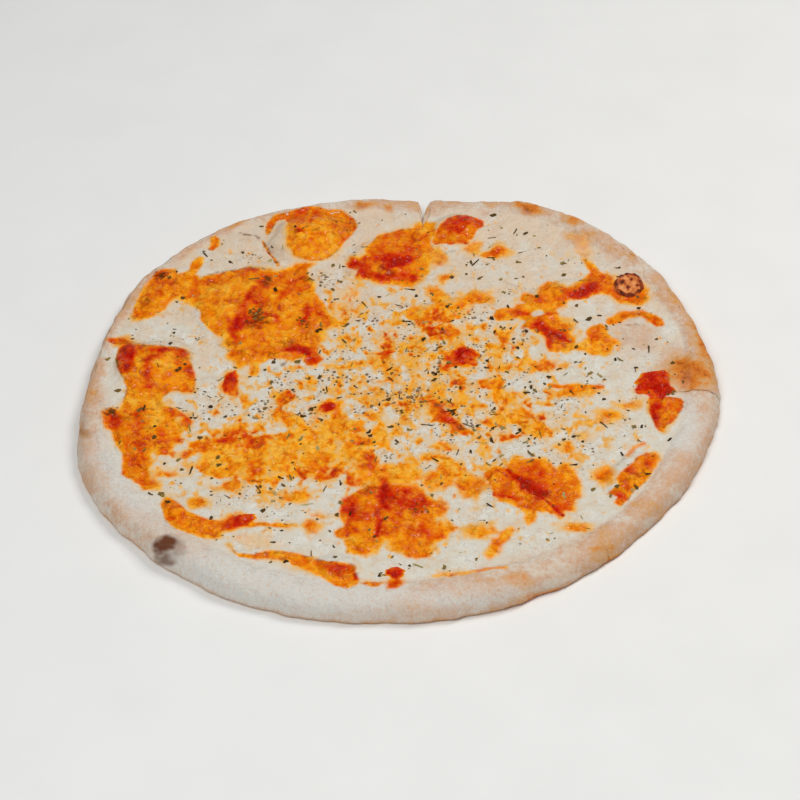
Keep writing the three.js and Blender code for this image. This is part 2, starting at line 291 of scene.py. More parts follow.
# %% Outlines of the pools
POOLS = [
    # the blister at the back
    (0.3, 0.5, [(-64, 122), (-64.5, 126), (-63, 131), (-60, 136), (-56, 139), (-51, 141), (-45, 142),
        (-38, 142), (-33, 140), (-27, 139), (-23.5, 136), (-20.5, 132), (-18, 127), (-19.5, 123),
        (-22, 118.5), (-25, 113.5), (-28, 107), (-33, 101.5), (-39, 99.5), (-45.5, 100.5), (-50, 103),
        (-52, 110), (-53.5, 117), (-53.5, 121.5), (-53, 126.5), (-52, 130.5), (-54, 133), (-57, 131.5),
        (-60, 128.5), (-61.5, 124.5), (-63, 121.5)]),
    # the wide pool at the back left
    (0.36, 1.0, [(-97, 88.5), (-93, 90.5), (-87, 92), (-80, 94.5), (-73, 96), (-67, 95), (-60, 93),
        (-54, 94), (-50, 96.5), (-45, 98.5), (-40.5, 97), (-43.5, 93), (-42, 88), (-39, 83), (-39.5, 77),
        (-38, 70.5), (-34.5, 65.5), (-33.5, 60), (-30.5, 55), (-29.5, 50.5), (-34.5, 47), (-35.5, 40.5),
        (-38, 35.5), (-38, 31.5), (-35.5, 26.5), (-38.5, 21.5), (-43, 23), (-45.5, 26.5), (-50, 25),
        (-55, 28), (-61.5, 26.5), (-65.5, 23.5), (-66.5, 16.5), (-69.5, 17), (-70.5, 23.5), (-75.5, 22),
        (-78.5, 26.5), (-80.5, 31.5), (-80, 35.5), (-83, 38.5), (-82, 43.5), (-86.5, 45.5),
        (-90.5, 50.5), (-95, 57), (-95, 63), (-98.5, 66.5), (-103.5, 70), (-105.5, 74.5), (-103, 80),
        (-103.5, 85.5)]),
    # its tongue to the left
    (0.37, 0.9, [(-95.5, 88), (-98.5, 93), (-95, 98.5), (-94, 104.5), (-96.5, 105.5), (-100, 101.5),
        (-102, 95.5), (-106.5, 93), (-108, 96.5), (-113, 97), (-117, 95), (-120.5, 90), (-122, 83),
        (-125, 76.5), (-127.5, 68.5), (-129, 61.5), (-126.5, 59.5), (-120, 58.5), (-115.5, 61.5),
        (-111.5, 65.5), (-110, 70.5), (-106.5, 73.5), (-103, 70), (-95.5, 74.5)]),
    (0.45, 0.6, [(-91.5, 120), (-88.5, 121.5), (-86.5, 118.5), (-87, 113), (-90, 110), (-92.5, 110.5),
        (-91.5, 115.5)]),
    # the blister at the left and its neck
    (0.32, 0.5, [(-133, 40.5), (-125.5, 41), (-119.5, 41), (-113, 39.5), (-107, 37.5), (-101.5, 35.5),
        (-99.5, 32), (-97.5, 25), (-96.5, 17), (-95.5, 10.5), (-96, 5.5), (-99.5, 5), (-103.5, 7),
        (-107.5, 5), (-110, 2), (-110.5, -4.5), (-109, -11), (-130.5, -11), (-129.5, -4.5), (-129.5, 3),
        (-127.5, 10), (-128.5, 15.5), (-131.5, 20), (-133.5, 25), (-134, 30.5), (-133.5, 36.5)]),
    # the pool at the left
    (0.42, 1.1, [(-130, 1.5), (-131, -4.5), (-134.5, -4), (-138, -6.5), (-138.5, -10.5), (-137.5, -15.5),
        (-134.5, -21.5), (-132.5, -27.5), (-129.5, -32), (-127.5, -36.5), (-127, -43), (-126.5, -50),
        (-122.5, -53), (-119.5, -57), (-115.5, -59), (-110.5, -60.5), (-110.5, -55), (-113.5, -51.5),
        (-114.5, -46.5), (-113, -41.5), (-115, -38), (-113.5, -33), (-109.5, -31.5), (-104.5, -29.5),
        (-100.5, -30.5), (-100, -27), (-103.5, -24.5), (-103.5, -19.5), (-106.5, -14.5), (-110, -11.5),
        (-110.5, -5.5), (-110.5, 0)]),
    # the band at the front left
    (0.37, 0.8, [(-110.5, -70), (-107, -65.5), (-103, -68), (-100, -70.5), (-96.5, -74.5), (-92, -78),
        (-87, -80), (-81.5, -81), (-77, -79), (-73, -78), (-70, -81.5), (-67, -83.5), (-60, -84.5),
        (-54.5, -85.5), (-48, -86), (-47, -87.5), (-54.5, -88.5), (-61.5, -87), (-68.5, -85.5),
        (-74.5, -87.5), (-80, -89), (-82, -93), (-87, -93.5), (-92, -92), (-97, -88.5), (-101.5, -85.5),
        (-104.5, -81.5), (-108, -75.5)]),
    # the band along the front
    (0.38, 0.7, [(-78, -98), (-73.5, -103), (-67, -103), (-60, -101.5), (-53, -103), (-45.5, -105),
        (-40, -108), (-33, -109.5), (-26.5, -110.5), (-22.5, -113), (-21, -117), (-19.5, -122),
        (-20.5, -125.5), (-25.5, -127.5), (-30.5, -125.5), (-35.5, -121), (-40.5, -117.5),
        (-45.5, -113.5), (-50.5, -110), (-57, -107.5), (-65.5, -107), (-73, -105.5), (-77, -101.5)]),
    # the pool at the front
    (0.46, 2.0, [(-28, -74.5), (-26.5, -70), (-23, -67), (-19.5, -63.5), (-14.5, -60.5), (-8.5, -60),
        (-3, -61), (3, -61.5), (5.5, -62), (9.5, -66.5), (12, -70.5), (17, -71.5), (19.5, -75),
        (18.5, -80), (16.5, -84), (20.5, -88.5), (25.5, -91), (22, -94.5), (19.5, -98), (14.5, -99.5),
        (14, -104.5), (11.5, -109), (5.5, -110.5), (0, -109), (-3, -106), (-4.5, -102), (-7, -100.5),
        (-10, -102), (-15, -106), (-20.5, -107), (-25, -104.5), (-26, -99.5), (-24.5, -95.5),
        (-29.5, -94.5), (-30.5, -90.5), (-27.5, -86.5), (-28.5, -81.5)]),
    # the pool at the front right
    (0.44, 1.9, [(37, -57), (39.5, -53), (43, -51), (47, -52), (48, -48), (50.5, -45.5), (55, -47.5),
        (60.5, -47), (65.5, -46), (68.5, -50.5), (70.5, -54.5), (73, -50.5), (76.5, -49.5), (78.5, -55),
        (80, -63), (79.5, -70), (77.5, -77), (76.5, -82.5), (72, -83.5), (69.5, -85.5), (64.5, -83),
        (60.5, -83.5), (58.5, -88), (55, -91), (52.5, -89.5), (54.5, -84.5), (52.5, -80.5), (48, -76.5),
        (43, -74.5), (40, -71), (39.5, -66.5)]),
    # the blister, the tomato and the chip at the right edge
    (0.36, 0.7, [(107, -47.5), (111.5, -45.5), (115.5, -46.5), (117, -50.5), (115.5, -54.5),
        (113, -59.5), (110.5, -63.5), (106.5, -68), (103, -72), (100, -77), (96.5, -80.5), (94.5, -77.5),
        (95.5, -74), (91, -72), (93.5, -69.5), (97.5, -66.5), (96.5, -62), (98, -59.5), (101.5, -55),
        (105, -51.5)]),
    (0.44, 0.4, [(115.5, -6), (120.5, -7), (125.5, -7), (130.5, -8.5), (131.5, -11.5), (130.5, -16.5),
        (128, -20.5), (125, -24.5), (122, -27), (120.5, -32), (118, -31.5), (116.5, -27), (116, -23),
        (115.5, -17), (115, -11.5)]),
    (0.84, 0.4, [(109.5, -2), (110.5, 1.5), (114.5, 3.5), (118, 4), (120.5, 7), (123.5, 11),
        (125.5, 9.5), (126.5, 5), (126, 0.5), (128.5, -3.5), (124.5, -6), (120.5, -8), (115.5, -6.5),
        (110.5, -5)]),
    # the pools at the back right
    (0.48, 1.2, [(58.5, 65.5), (60, 70), (63.5, 71), (68, 68.5), (69, 75.5), (73, 78.5), (78.5, 77),
        (82, 73.5), (85.5, 74.5), (88.5, 78.5), (92, 81), (94, 84.5), (92, 90), (90.5, 95.5), (93, 96.5),
        (96.5, 90), (98.5, 85), (103, 82), (105, 78.5), (105, 68.5), (100.5, 66.5), (95.5, 67),
        (90, 64.5), (84.5, 64), (80.5, 61.5), (75.5, 60), (70, 60), (64.5, 61.5)]),
    (0.38, 1.6, [(45, 53.5), (47, 58), (53, 60), (57, 59.5), (61.5, 60.5), (70, 61), (75.5, 58),
        (76.5, 53.5), (83, 50.5), (85, 47), (83.5, 41.5), (84.5, 35.5), (84.5, 30.5), (90, 29.5),
        (78.5, 28), (74.5, 25.5), (70.5, 27), (68.5, 33), (69.5, 38), (65.5, 41.5), (63, 43.5),
        (58, 45.5), (61.5, 49.5), (57, 52), (51.5, 50.5), (47, 50)]),
    (0.32, 1.2, [(90, 41.5), (93, 45), (96.5, 45.5), (99.5, 43.5), (100.5, 38.5), (105, 34.5),
        (104.5, 30.5), (100.5, 28.5), (100, 24.5), (96.5, 23), (90, 25), (83, 26.5), (77, 25.5),
        (75.5, 29.5), (83, 31.5), (88.5, 33), (89.5, 37)]),
    # the pool at the back and the lobe right of it
    (0.44, 1.1, [(-24.5, 97), (-23, 101.5), (-18.5, 102), (-15.5, 104.5), (-15, 110), (-11.5, 113.5),
        (-8.5, 118.5), (-3.5, 120), (1.5, 122.5), (7, 122), (10, 125.5), (14.5, 128), (20, 126.5),
        (20.5, 118.5), (18, 113), (18.5, 107), (17, 103), (16.5, 95.5), (15, 88.5), (13, 85.5),
        (11.5, 80.5), (8.5, 77), (3.5, 78), (-1.5, 79.5), (-8.5, 80), (-13, 84.5), (-17, 84.5),
        (-20.5, 85.5), (-18.5, 91.5), (-23.5, 93.5)]),
    (0.6, 0.7, [(20.5, 121.5), (22, 125.5), (25.5, 130), (30.5, 132), (35.5, 131.5), (40.5, 130),
        (43.5, 127), (44, 123.5), (41.5, 120.5), (40, 117), (38.5, 113), (34.5, 110), (30, 109.5),
        (25.5, 110.5), (20.5, 110), (18.5, 113), (20, 117)]),
]
print(len(POOLS), "pools")

# %% [markdown]
# Inside a pool the sauce is not one colour. Each row is an oval that tints it: place, length, width, turn
# and ripeness.

# %% Tints inside the pools
TINTS = [
    # the blister at the back
    (-50, 136, 22, 8, 30, 0.62), (-62, 129, 4, 12, -15, 0.55), (-22, 122, 8, 26, -8, 0.46),
    (-38, 137, 14, 5, -10, 0.5), (-47, 123, 4, 4, 0, 0.75), (-41, 116, 3, 3, 0, 0.7),
    (-42, 131, 5, 3, 0, 0.7), (-40, 106, 16, 12, 0, 0.22), (-37, 123, 10, 12, 0, 0.22),
    (-30, 130, 6, 14, 20, 0.35), (-45, 98, 8, 5, 10, 0.5), (-34, 112, 3, 4, 0, 0.55),
    # the wide pool at the back left
    (-86, 72, 20, 26, 0, 0.27), (-83, 66, 10, 10, 0, 0.16), (-92, 87, 14, 10, 0, 0.46),
    (-72, 94, 24, 4, 5, 0.6), (-60, 86, 18, 12, 0, 0.45), (-55, 75, 5, 9, -20, 0.78),
    (-63, 84, 8, 8, 0, 0.62), (-46, 84, 10, 10, 0, 0.5), (-43, 62, 6, 10, 0, 0.55), (-47, 53, 8, 6, 0, 0.6),
    (-37, 60, 5, 6, 0, 0.75), (-52, 84, 4, 5, 0, 0.8), (-53, 64, 6, 14, -10, 0.12),
    (-60, 62, 12, 8, 0, 0.36), (-79, 50, 6, 12, 0, 0.7), (-69, 57, 22, 12, 5, 0.6),
    (-62, 43, 24, 12, 0, 0.3), (-72, 34, 18, 10, 0, 0.36), (-68, 26, 20, 8, 0, 0.3),
    (-47, 34, 12, 4, -20, 0.65), (-40, 26, 8, 8, 0, 0.64), (-58, 31, 12, 8, 0, 0.36),
    (-76, 84, 12, 8, 0, 0.3), (-67, 72, 8, 10, 0, 0.5),
    # its tongue
    (-121, 70, 18, 8, 65, 0.5), (-113, 86, 14, 10, 20, 0.4), (-103, 83, 10, 10, 0, 0.3),
    (-116, 93, 12, 8, 20, 0.6), (-126, 64, 6, 8, 0, 0.5), (-98, 98, 5, 10, -20, 0.3),
    # the blister at the left and its neck
    (-128, 30, 14, 20, -10, 0.78), (-126.5, 36, 11, 8, 0, 0.92), (-115, 31, 10, 5, 0, 0.74),
    (-111, 35.5, 16, 4, -8, 0.8), (-110, 24, 13, 11, 0, 0.12), (-104, 32, 8, 4, -20, 0.52),
    (-101, 24, 8, 18, 0, 0.46), (-104, 14, 12, 10, 0, 0.36), (-122, 8, 10, 8, 0, 0.3),
    (-122, 0, 14, 14, 0, 0.14), (-100, 8, 8, 6, 0, 0.45), (-131, 22, 5, 8, 0, 0.6),
    (-123, 31, 4, 14, 8, 0.14), (-121, 15, 6, 10, 0, 0.2),
    # the pool at the left
    (-133, -13, 9, 20, 15, 0.66), (-120, -12, 10, 22, 0, 0.42), (-112, -14, 10, 20, 0, 0.16),
    (-124, -30, 10, 14, 0, 0.34), (-124, -44, 10, 14, 0, 0.48), (-118, -55, 8, 6, 0, 0.55),
    (-108, -20, 8, 10, 0, 0.45), (-114, -2, 10, 10, 0, 0.26), (-106, -28, 8, 5, 0, 0.55),
    (-127, -4, 8, 6, 0, 0.3),
    # the front bands
    (-76, -82, 11, 7, 30, 0.78), (-89, -88, 14, 5, -20, 0.34), (-31, -115, 16, 7, -28, 0.72),
    (-27, -113, 8, 4, -20, 0.88), (-26, -123, 10, 6, -15, 0.22), (-46, -109, 14, 6, -25, 0.48),
    (-66, -105, 20, 4, 0, 0.33), (-20.5, -120, 3, 8, 0, 0.75), (-39, -114, 8, 4, -30, 0.35),
    # the pool at the front
    (-6, -66, 22, 12, 0, 0.66), (-7, -66, 5, 14, 10, 0.94), (5, -74, 15, 15, 0, 0.76),
    (3, -79, 8, 6, 0, 0.9), (-24, -74, 8, 16, 0, 0.82), (-27, -91, 6, 8, 0, 0.66),
    (-12, -84, 4, 14, 5, 0.82), (-17, -80, 10, 14, 0, 0.5), (-14, -101, 18, 10, 0, 0.3),
    (5, -101, 20, 14, 0, 0.34), (14, -90, 14, 10, 0, 0.4), (8, -85, 12, 8, 0, 0.52),
    (16, -75, 8, 8, 0, 0.46), (-2, -91, 12, 12, 0, 0.42), (-22, -104, 8, 6, 0, 0.25),
    (-19, -90, 5, 8, 0, 0.35), (1, -80, 5, 6, 20, 0.3),
    # the pool at the front right
    (47, -66, 14, 14, 0, 0.42), (57, -65, 13, 7, -43, 0.85), (60, -54, 20, 14, 0, 0.44),
    (72, -64, 14, 22, 0, 0.45), (74, -52, 6, 10, 0, 0.35), (62, -82, 12, 6, 0, 0.38),
    (45, -73, 12, 6, 0, 0.48), (71, -80, 8, 8, 0, 0.55), (66, -72, 12, 10, 0, 0.48),
    (52, -54, 8, 6, 0, 0.5), (40, -60, 6, 8, 0, 0.35), (55, -88, 6, 6, 0, 0.3), (44, -55, 8, 6, 0, 0.6),
    # the right edge
    (111, -50, 10, 10, 0, 0.44), (97, -74, 6, 8, 20, 0.8), (93, -71, 5, 4, 0, 0.55),
    (107, -63, 14, 6, 50, 0.26), (103, -56, 5, 8, 40, 0.6), (100, -67, 8, 5, 50, 0.55),
    (117.5, -16, 4, 26, -5, 0.9), (126, -12, 8, 10, 0, 0.5), (124, -20, 8, 8, 0, 0.36),
    (118, 1, 12, 8, 0, 0.95), (112, -3, 6, 5, 0, 0.72), (124, 7, 4, 6, 0, 0.78),
    # the pools at the back right
    (92, 72, 17, 9, 30, 0.97), (85, 67, 9, 6, 30, 0.9), (79, 69, 6, 12, 20, 0.66),
    (72, 70, 14, 12, 0, 0.42), (63, 66, 10, 8, 0, 0.42), (76, 76, 12, 5, 0, 0.4), (101, 77, 7, 12, 0, 0.34),
    (97, 88, 5, 12, 20, 0.26), (104.5, 71, 5, 9, 0, 0.85), (61, 55.5, 14, 4, -8, 0.95),
    (72, 54.5, 12, 3, 5, 0.7), (52, 55, 10, 8, 0, 0.32), (70, 43, 11, 9, -40, 0.9), (70, 33, 7, 9, 0, 0.85),
    (81, 43, 10, 9, 0, 0.5), (78, 50, 12, 5, 0, 0.3), (79, 30, 12, 6, 0, 0.28), (61, 45, 8, 5, 0, 0.66),
    (62, 40, 5, 4, 0, 0.6), (96, 43, 8, 6, 0, 0.5), (92, 35, 10, 12, 0, 0.5), (88, 28, 24, 6, 0, 0.3),
    (97, 28, 8, 6, 0, 0.3),
    # the pool at the back and the lobe right of it
    (-2, 112, 24, 12, 0, 0.42), (3, 117, 14, 8, 0, 0.38), (14, 122, 10, 8, 0, 0.2),
    (-3, 100, 22, 9, 15, 0.88), (-1, 96, 14, 9, 20, 1), (-17, 93, 12, 9, 0, 0.84),
    (-8, 87, 26, 6, -12, 0.84), (8, 84, 12, 6, -20, 0.75), (2, 79, 20, 4, 0, 0.4),
    (13, 100, 8, 22, 0, 0.42), (13, 90, 6, 12, 0, 0.4), (-21, 97, 8, 6, 0, 0.82), (6, 106, 10, 8, 0, 0.6),
    (-11, 96, 6, 4, 0, 0.45), (31, 125, 20, 10, 0, 0.74), (28, 114, 20, 8, 0, 0.42),
    (38, 117, 8, 12, 0, 0.55), (24, 118, 8, 8, 0, 0.55), (40, 126, 6, 6, 0, 0.6),
]
print(len(TINTS), "tints")

# %% [markdown]
# Smaller spots and the fields of the centre are ovals too, with one more number: how fully the sauce
# covers the cheese. Later rows lie over earlier ones, and a row with cover 0 is cheese again.

# %% Spots of sauce
SAUCE_OVALS = [
    # the yellow fields of the centre
    (-65, -42, 54, 30, 0, 0.12, 0.75), (-35, -35, 44, 36, 0, 0.1, 0.7), (-10, -25, 8, 26, 0, 0.2, 0.7),
    (-66, -95, 22, 12, -15, 0.2, 0.25), (-6, -55, 28, 16, 0, 0.3, 0.95), (15, -60, 14, 14, 0, 0.3, 0.8),
    (-22, -58, 10, 10, 0, 0.5, 0.8),
    # by the pools at the left
    (-133, 43, 14, 6, -25, 0.5, 0.9), (-112, -19, 22, 36, 0, 0.12, 0.9), (-109, -35, 8, 6.5, 0, 0.66, 1),
    (-106.5, -49.5, 9, 4, 0, 0.35, 0.8), (-93, -70.5, 6.5, 6, 0, 0.42, 1), (-107, -9, 9, 6, -15, 1, 1),
    (-99, -14, 5, 7, 0, 0.9, 1), (-115, -57, 9, 8, 0, 0.5, 1), (-117, 62, 6, 3, 0, 0.3, 0.6),
    # along the front edge
    (-14, -124, 10, 3, 0, 0.35, 0.8), (-4, -125, 8, 7, 0, 0.75, 1), (-41, -88, 9, 5, -65, 0.4, 0.85),
    (-38, -81, 8, 4, 0, 0.35, 0.7),
    # left of the centre
    (-82, -48, 26, 10, -5, 0.35, 0.95), (-70, -46, 16, 22, 0, 0.4, 0.95), (-84, -29, 26, 7, 18, 0.7, 0.95),
    (-97, -37, 10, 3, 25, 0.6, 0.8), (-74, -24, 10, 7, 0, 0.6, 0.9), (-68, -31, 14, 8, 0, 0.45, 0.95),
    (-57, -29, 14, 6, 0, 0.55, 0.95), (-45, -48, 30, 16, 0, 0.35, 0.9), (-36, -52, 20, 12, 0, 0.5, 0.9),
    (-16, -46, 12, 14, 0, 0.55, 0.95), (-48, -67, 14, 8, 0, 0.45, 0.9), (-76, -60, 14, 6, 0, 0.35, 0.8),
    (-33, -9, 13, 12, 0, 0.5, 0.95), (-24, -22, 12, 9, 0, 0.55, 0.9), (-56, -12, 7, 12, 10, 0.65, 0.95),
    (-54, 0, 10, 8, 0, 0.5, 0.9), (-30, -24, 14, 16, 0, 0.25, 0.9), (-20, -30, 16, 14, 0, 0.35, 0.85),
    (-79, 9, 8, 18, -8, 0.75, 1),
    # by the pool at the front right
    (28, -62, 8, 22, 10, 0.35, 0.85), (33, -64, 12, 8, 30, 0.5, 0.95), (22, -53, 14, 14, 0, 0.3, 0.9),
    (19, -37, 8, 8, 0, 0.4, 0.85), (15, -44, 10, 8, 0, 0.25, 0.7), (34, -93.5, 12, 7.5, 0, 0.45, 1),
    (77, -93, 12, 5, -15, 0.4, 0.85), (91, -60, 9, 10, 0, 0.35, 0.95), (20, -120, 12, 4, 10, 0.2, 0.5),
    # right of the centre
    (18, -16, 10, 8, -40, 0.45, 0.9), (48, -33, 7, 6, 0, 0.65, 1), (62, -28, 18, 9, -25, 0.35, 0.9),
    (56, -19, 26, 10, -10, 0.35, 0.85), (45, -22, 14, 8, 0, 0.25, 0.7), (38, -28, 10, 5, 0, 0.3, 0.6),
    (96, -19, 12, 7, 10, 0.4, 0.9), (105, -13, 10, 5, 10, 0.35, 0.8), (91, -24, 14, 4, 0, 0.2, 0.6),
    (75, -40, 8, 8, 0, 0.3, 0.8), (83, -33, 8, 5, 0, 0.2, 0.7), (82, -2, 16, 8, 0, 0.35, 0.9),
    (45, -3, 10, 6, 0, 0.3, 0.8), (29, 7, 7, 6, 0, 0.75, 1), (42, 6, 12, 8, 0, 0.45, 0.95),
    (70, 17, 6, 7, 0, 0.6, 0.9), (60, 17, 14, 8, 0, 0.3, 0.7), (47, 31, 8, 8, 0, 0.35, 0.85),
    # behind the centre
    (38, 106, 8, 10, 0, 0.3, 0.7), (51, 103, 10, 8, 0, 0.45, 1), (44, 101, 6, 5, 0, 0.4, 0.8),
    (20, 100, 10, 16, 0, 0.3, 0.7), (24, 83, 8, 4, 40, 0.35, 0.85), (20, 69, 8, 14, 10, 0.5, 0.95),
    (38, 68, 15, 9, 0, 0.45, 1), (38, 67, 5, 4, 0, 0.65, 1), (22, 58, 22, 14, 0, 0.4, 0.95),
    (17, 54, 14, 8, 20, 0.65, 1), (10, 55, 10, 16, 0, 0.35, 0.9), (22, 43, 16, 12, 0, 0.5, 0.95),
    (20, 44, 8, 6, 0, 0.65, 1), (30, 60, 8, 8, 0, 0.3, 0.7), (-5, 34, 6, 18, -5, 0.75, 1),
    (28, 24, 20, 14, 25, 0.3, 0.8), (30, 25, 14, 10, 25, 0.8, 1), (16, 25, 8, 6, 20, 0.2, 0.7),
    (-28, 60, 14, 20, 0, 0.3, 0.55), (-24, 72, 12, 16, 0, 0.3, 0.45), (88, 111, 14, 8, -20, 0.35, 0.35),
    (92, 103, 8, 14, 20, 0.38, 0.4),
    # by the pools at the back right
    (50, 40, 8, 12, 0, 0.35, 0.7), (113.5, 68, 17, 17, 0, 0.42, 1), (106, 69, 5, 10, 0, 0.8, 1),
]
print(len(SAUCE_OVALS), "spots")

# %% [markdown]
# Streaks are sauce that ran along a fold or was drawn out by the knife: a chain of points, a width,
# ripeness and cover. Browned places, where a blister or a thin edge caught the oven's heat, are ovals
# and streaks of their own, with an amount last. In a few wide zones (place, two reaches, strength) the
# sauce and the cheese have mottled each other.

# %% Streaks and browned places
SAUCE_STREAKS = [
    ([(-118.6, 30), (-118, 20), (-117, 10)], 3.6, 0.68, 1), ([(-8, -63), (-9, -70), (-7, -77)], 2.4, 1, 1),
    ([(-10, -84), (-12, -95)], 1.8, 0.95, 1), ([(-69, 80), (-74, 66), (-79, 46)], 3.2, 0.85, 1),
    ([(-53, 34), (-45, 34), (-39, 24)], 2.8, 0.85, 1), ([(-44, 66), (-43, 58), (-47, 53)], 2.4, 0.8, 1),
    ([(-66, 60), (-57, 58)], 2.4, 0.75, 1), ([(41, -69.8), (54.7, -73.4)], 2, 0.8, 1),
    ([(62.5, -56.3), (63.3, -66.9)], 3, 0.66, 1), ([(52, -59.5), (57, -64.5), (62.5, -69.5)], 4, 1, 1),
    ([(48, -53.8), (53.3, -60.2), (62.3, -72.7), (71.3, -85.1)], 1.5, 1, 1),
    ([(47, -94), (42, -100), (38, -109)], 6, 0.25, 0.85),
    ([(12, -121), (24, -119.5), (34, -118), (45, -117)], 2, 0.25, 0.7),
    ([(103, -47), (106, -41), (111, -39)], 3, 0.35, 0.7), ([(15, -7), (20, -15), (29, -28)], 5, 0.6, 1),
    ([(70, 3), (80, 1), (94, 1)], 3, 0.45, 0.95),
    ([(102, 47), (108, 52), (116, 53), (124, 46)], 6, 0.4, 0.95),
    ([(59, 60), (68, 61), (78, 61.5)], 6, 0.42, 1), ([(65.5, 54.3), (68.5, 55.6)], 3.4, 0.1, 0.0),
    ([(80, 49), (88, 51)], 4, 0.1, 0.1), ([(66, 47), (73, 40.5), (82, 34.5)], 3, 0.95, 1),
    ([(72, 39), (70.5, 31)], 2.6, 0.9, 1), ([(-66, 116), (-60.3, 103), (-58.3, 97)], 1.8, 0.5, 0.75),
]
BROWN_OVALS = [
    (-63, 85, 6, 7, 0, 0.85), (-67, 54, 15, 11, 20, 0.6), (-42, 85, 6, 4, -30, 0.7),
    (-96, 67, 9, 3, 80, 0.5), (-54, 23, 6, 2.5, 30, 0.7), (-84, 38, 5, 3, 0, 0.4), (-75, 34, 4, 3, 0, 0.5),
    (-59, 31, 4, 3, 0, 0.6), (-115.5, 92, 9, 7, 0, 0.9), (-121, 73, 8, 2.5, 85, 0.8),
    (-128, 60, 6, 3, 20, 0.5), (-134.5, -7, 6, 5, 0, 0.95), (-116, -19, 3.5, 2.5, 0, 0.8),
    (-117.7, -5.7, 3, 2.5, 0, 0.7), (-114.3, -6, 3, 2, 0, 0.7), (-122, -40, 4, 3, 0, 0.5),
    (-118, -55, 4, 3, 0, 0.5), (-29, -116, 5, 4, 0, 0.5), (33, -68, 8, 3, 35, 0.4),
    (31, -91, 5, 4, 30, 0.5), (91, -60, 5, 6, 0, 0.4), (10, 116, 5, 6, 0, 0.5), (6, 122, 5, 3, 0, 0.4),
    (25, 103, 9, 5, 20, 0.35), (-103, 26, 3, 2, 0, 0.5), (-99.7, 29.7, 3, 2, 0, 0.6),
    (-104.2, 21.2, 2.5, 2, 0, 0.45), (-100.4, 19.6, 3, 2, 0, 0.5), (-98.1, 23.1, 2.5, 3, 0, 0.5),
    (-102.1, 14, 3, 2, 0, 0.4), (-48, 122.6, 5, 3, 15, 0.65), (-39.7, 123, 4, 2.6, 0, 0.6),
    (-43, 117.7, 4, 2.6, 0, 0.6), (66.7, -69.3, 3, 2.5, 0, 0.6), (71.6, -68, 3, 2.5, 0, 0.6),
    (7, -79, 8, 3, 0, 0.6), (-4, -92, 5, 3, 30, 0.4), (-45, 53, 5, 3, 0, 0.6), (116, 50, 20, 4, -8, 0.35),
]
BROWN_STREAKS = [
    ([(-92, 91), (-83, 94), (-72, 96), (-62, 94)], 2.4, 0.6),
    ([(-66, -102.5), (-55, -103.5), (-45, -106.5), (-36, -109), (-28, -110), (-23.5, -113),
        (-21, -119)], 1.8, 0.5),
    ([(-133.5, 42), (-123, 41), (-111, 39), (-103.7, 35), (-97.5, 32.5)], 1.4, 0.6),
    ([(-133.4, 40.6), (-133.5, 33.3), (-131.6, 22.4), (-126.5, 13.6)], 1.2, 0.5),
    ([(-62, 133), (-54, 139.5), (-44, 142)], 1.8, 0.5), ([(-18.5, 128), (-20, 122), (-24, 115)], 1.6, 0.35),
    ([(108, -58), (101, -62), (97, -64)], 3, 0.45),
    ([(48, -53.8), (53.3, -60.2), (62.3, -72.7), (71.3, -85.1)], 0.9, 0.55),
    ([(16, -8), (19, -12)], 2.5, 0.7), ([(25, -21), (29, -26)], 2.5, 0.7),
    # the fold along the cut at the back left: partly browned cheese, partly painted shade in the crease
    ([(-76, 123), (-69.4, 121), (-64.3, 113), (-60.3, 103), (-58.3, 97)], 2.0, 0.7),
    ([(102, 45.5), (107, 44.5), (112, 45.5), (118, 44)], 1.0, 0.4),
]
SPECKLE_ZONES = [
    (5, 8, 75, 62, 0.85), (-55, -30, 55, 40, 0.8), (45, -25, 60, 50, 0.5), (-25, 40, 30, 60, 0.45),
    (35, 90, 35, 25, 0.2), (80, 20, 40, 40, 0.2),
]
print(len(SAUCE_STREAKS), "streaks and", len(BROWN_OVALS) + len(BROWN_STREAKS), "browned places")

# %% [markdown]
# ## How far inside
# All these marks are asked the same question: how many millimetres inside its edge is a place? A soft
# step over that depth then gives an edge as sharp or as soft as wanted, and waves can fray it.

# %% Depths inside ovals, streaks and outlines
FAR = 13.0


def direction(degrees):
    """The cosine and sine of a direction."""
    return math.cos(math.radians(degrees)), math.sin(math.radians(degrees))


def oval_depth(x, y, cx, cy, length, width, turn):
    """How far inside an oval a place is, in millimetres; negative outside."""
    c, s = direction(turn)
    along = ((x - cx) * c + (y - cy) * s) / length
    across = ((y - cy) * c - (x - cx) * s) / width
    return (0.5 - np.hypot(along, across)) * min(length, width)


def ovals_at(rows, x, y, start, end, fray=0.0, relative=False):
    """The strongest of some ovals at each place; a row is an oval and its strength."""
    field = np.zeros(x.shape)
    for *oval, strength in rows:
        depth = oval_depth(x, y, *oval)
        if relative:
            depth = depth / min(oval[2:4])
        field = np.maximum(field, strength * soft_step(start, end, depth + fray))
    return field


def streak_depth(x, y, points, width):
    """How far inside a streak a place is, in millimetres; negative outside."""
    nearest = np.full(x.shape, 1e9)
    for (x0, y0), (x1, y1) in zip(points, points[1:]):
        dx = x1 - x0
        dy = y1 - y0
        t = np.clip(((x - x0) * dx + (y - y0) * dy) / (dx * dx + dy * dy), 0, 1)
        nearest = np.minimum(nearest, np.hypot(x - x0 - t * dx, y - y0 - t * dy))
    return width / 2 - nearest


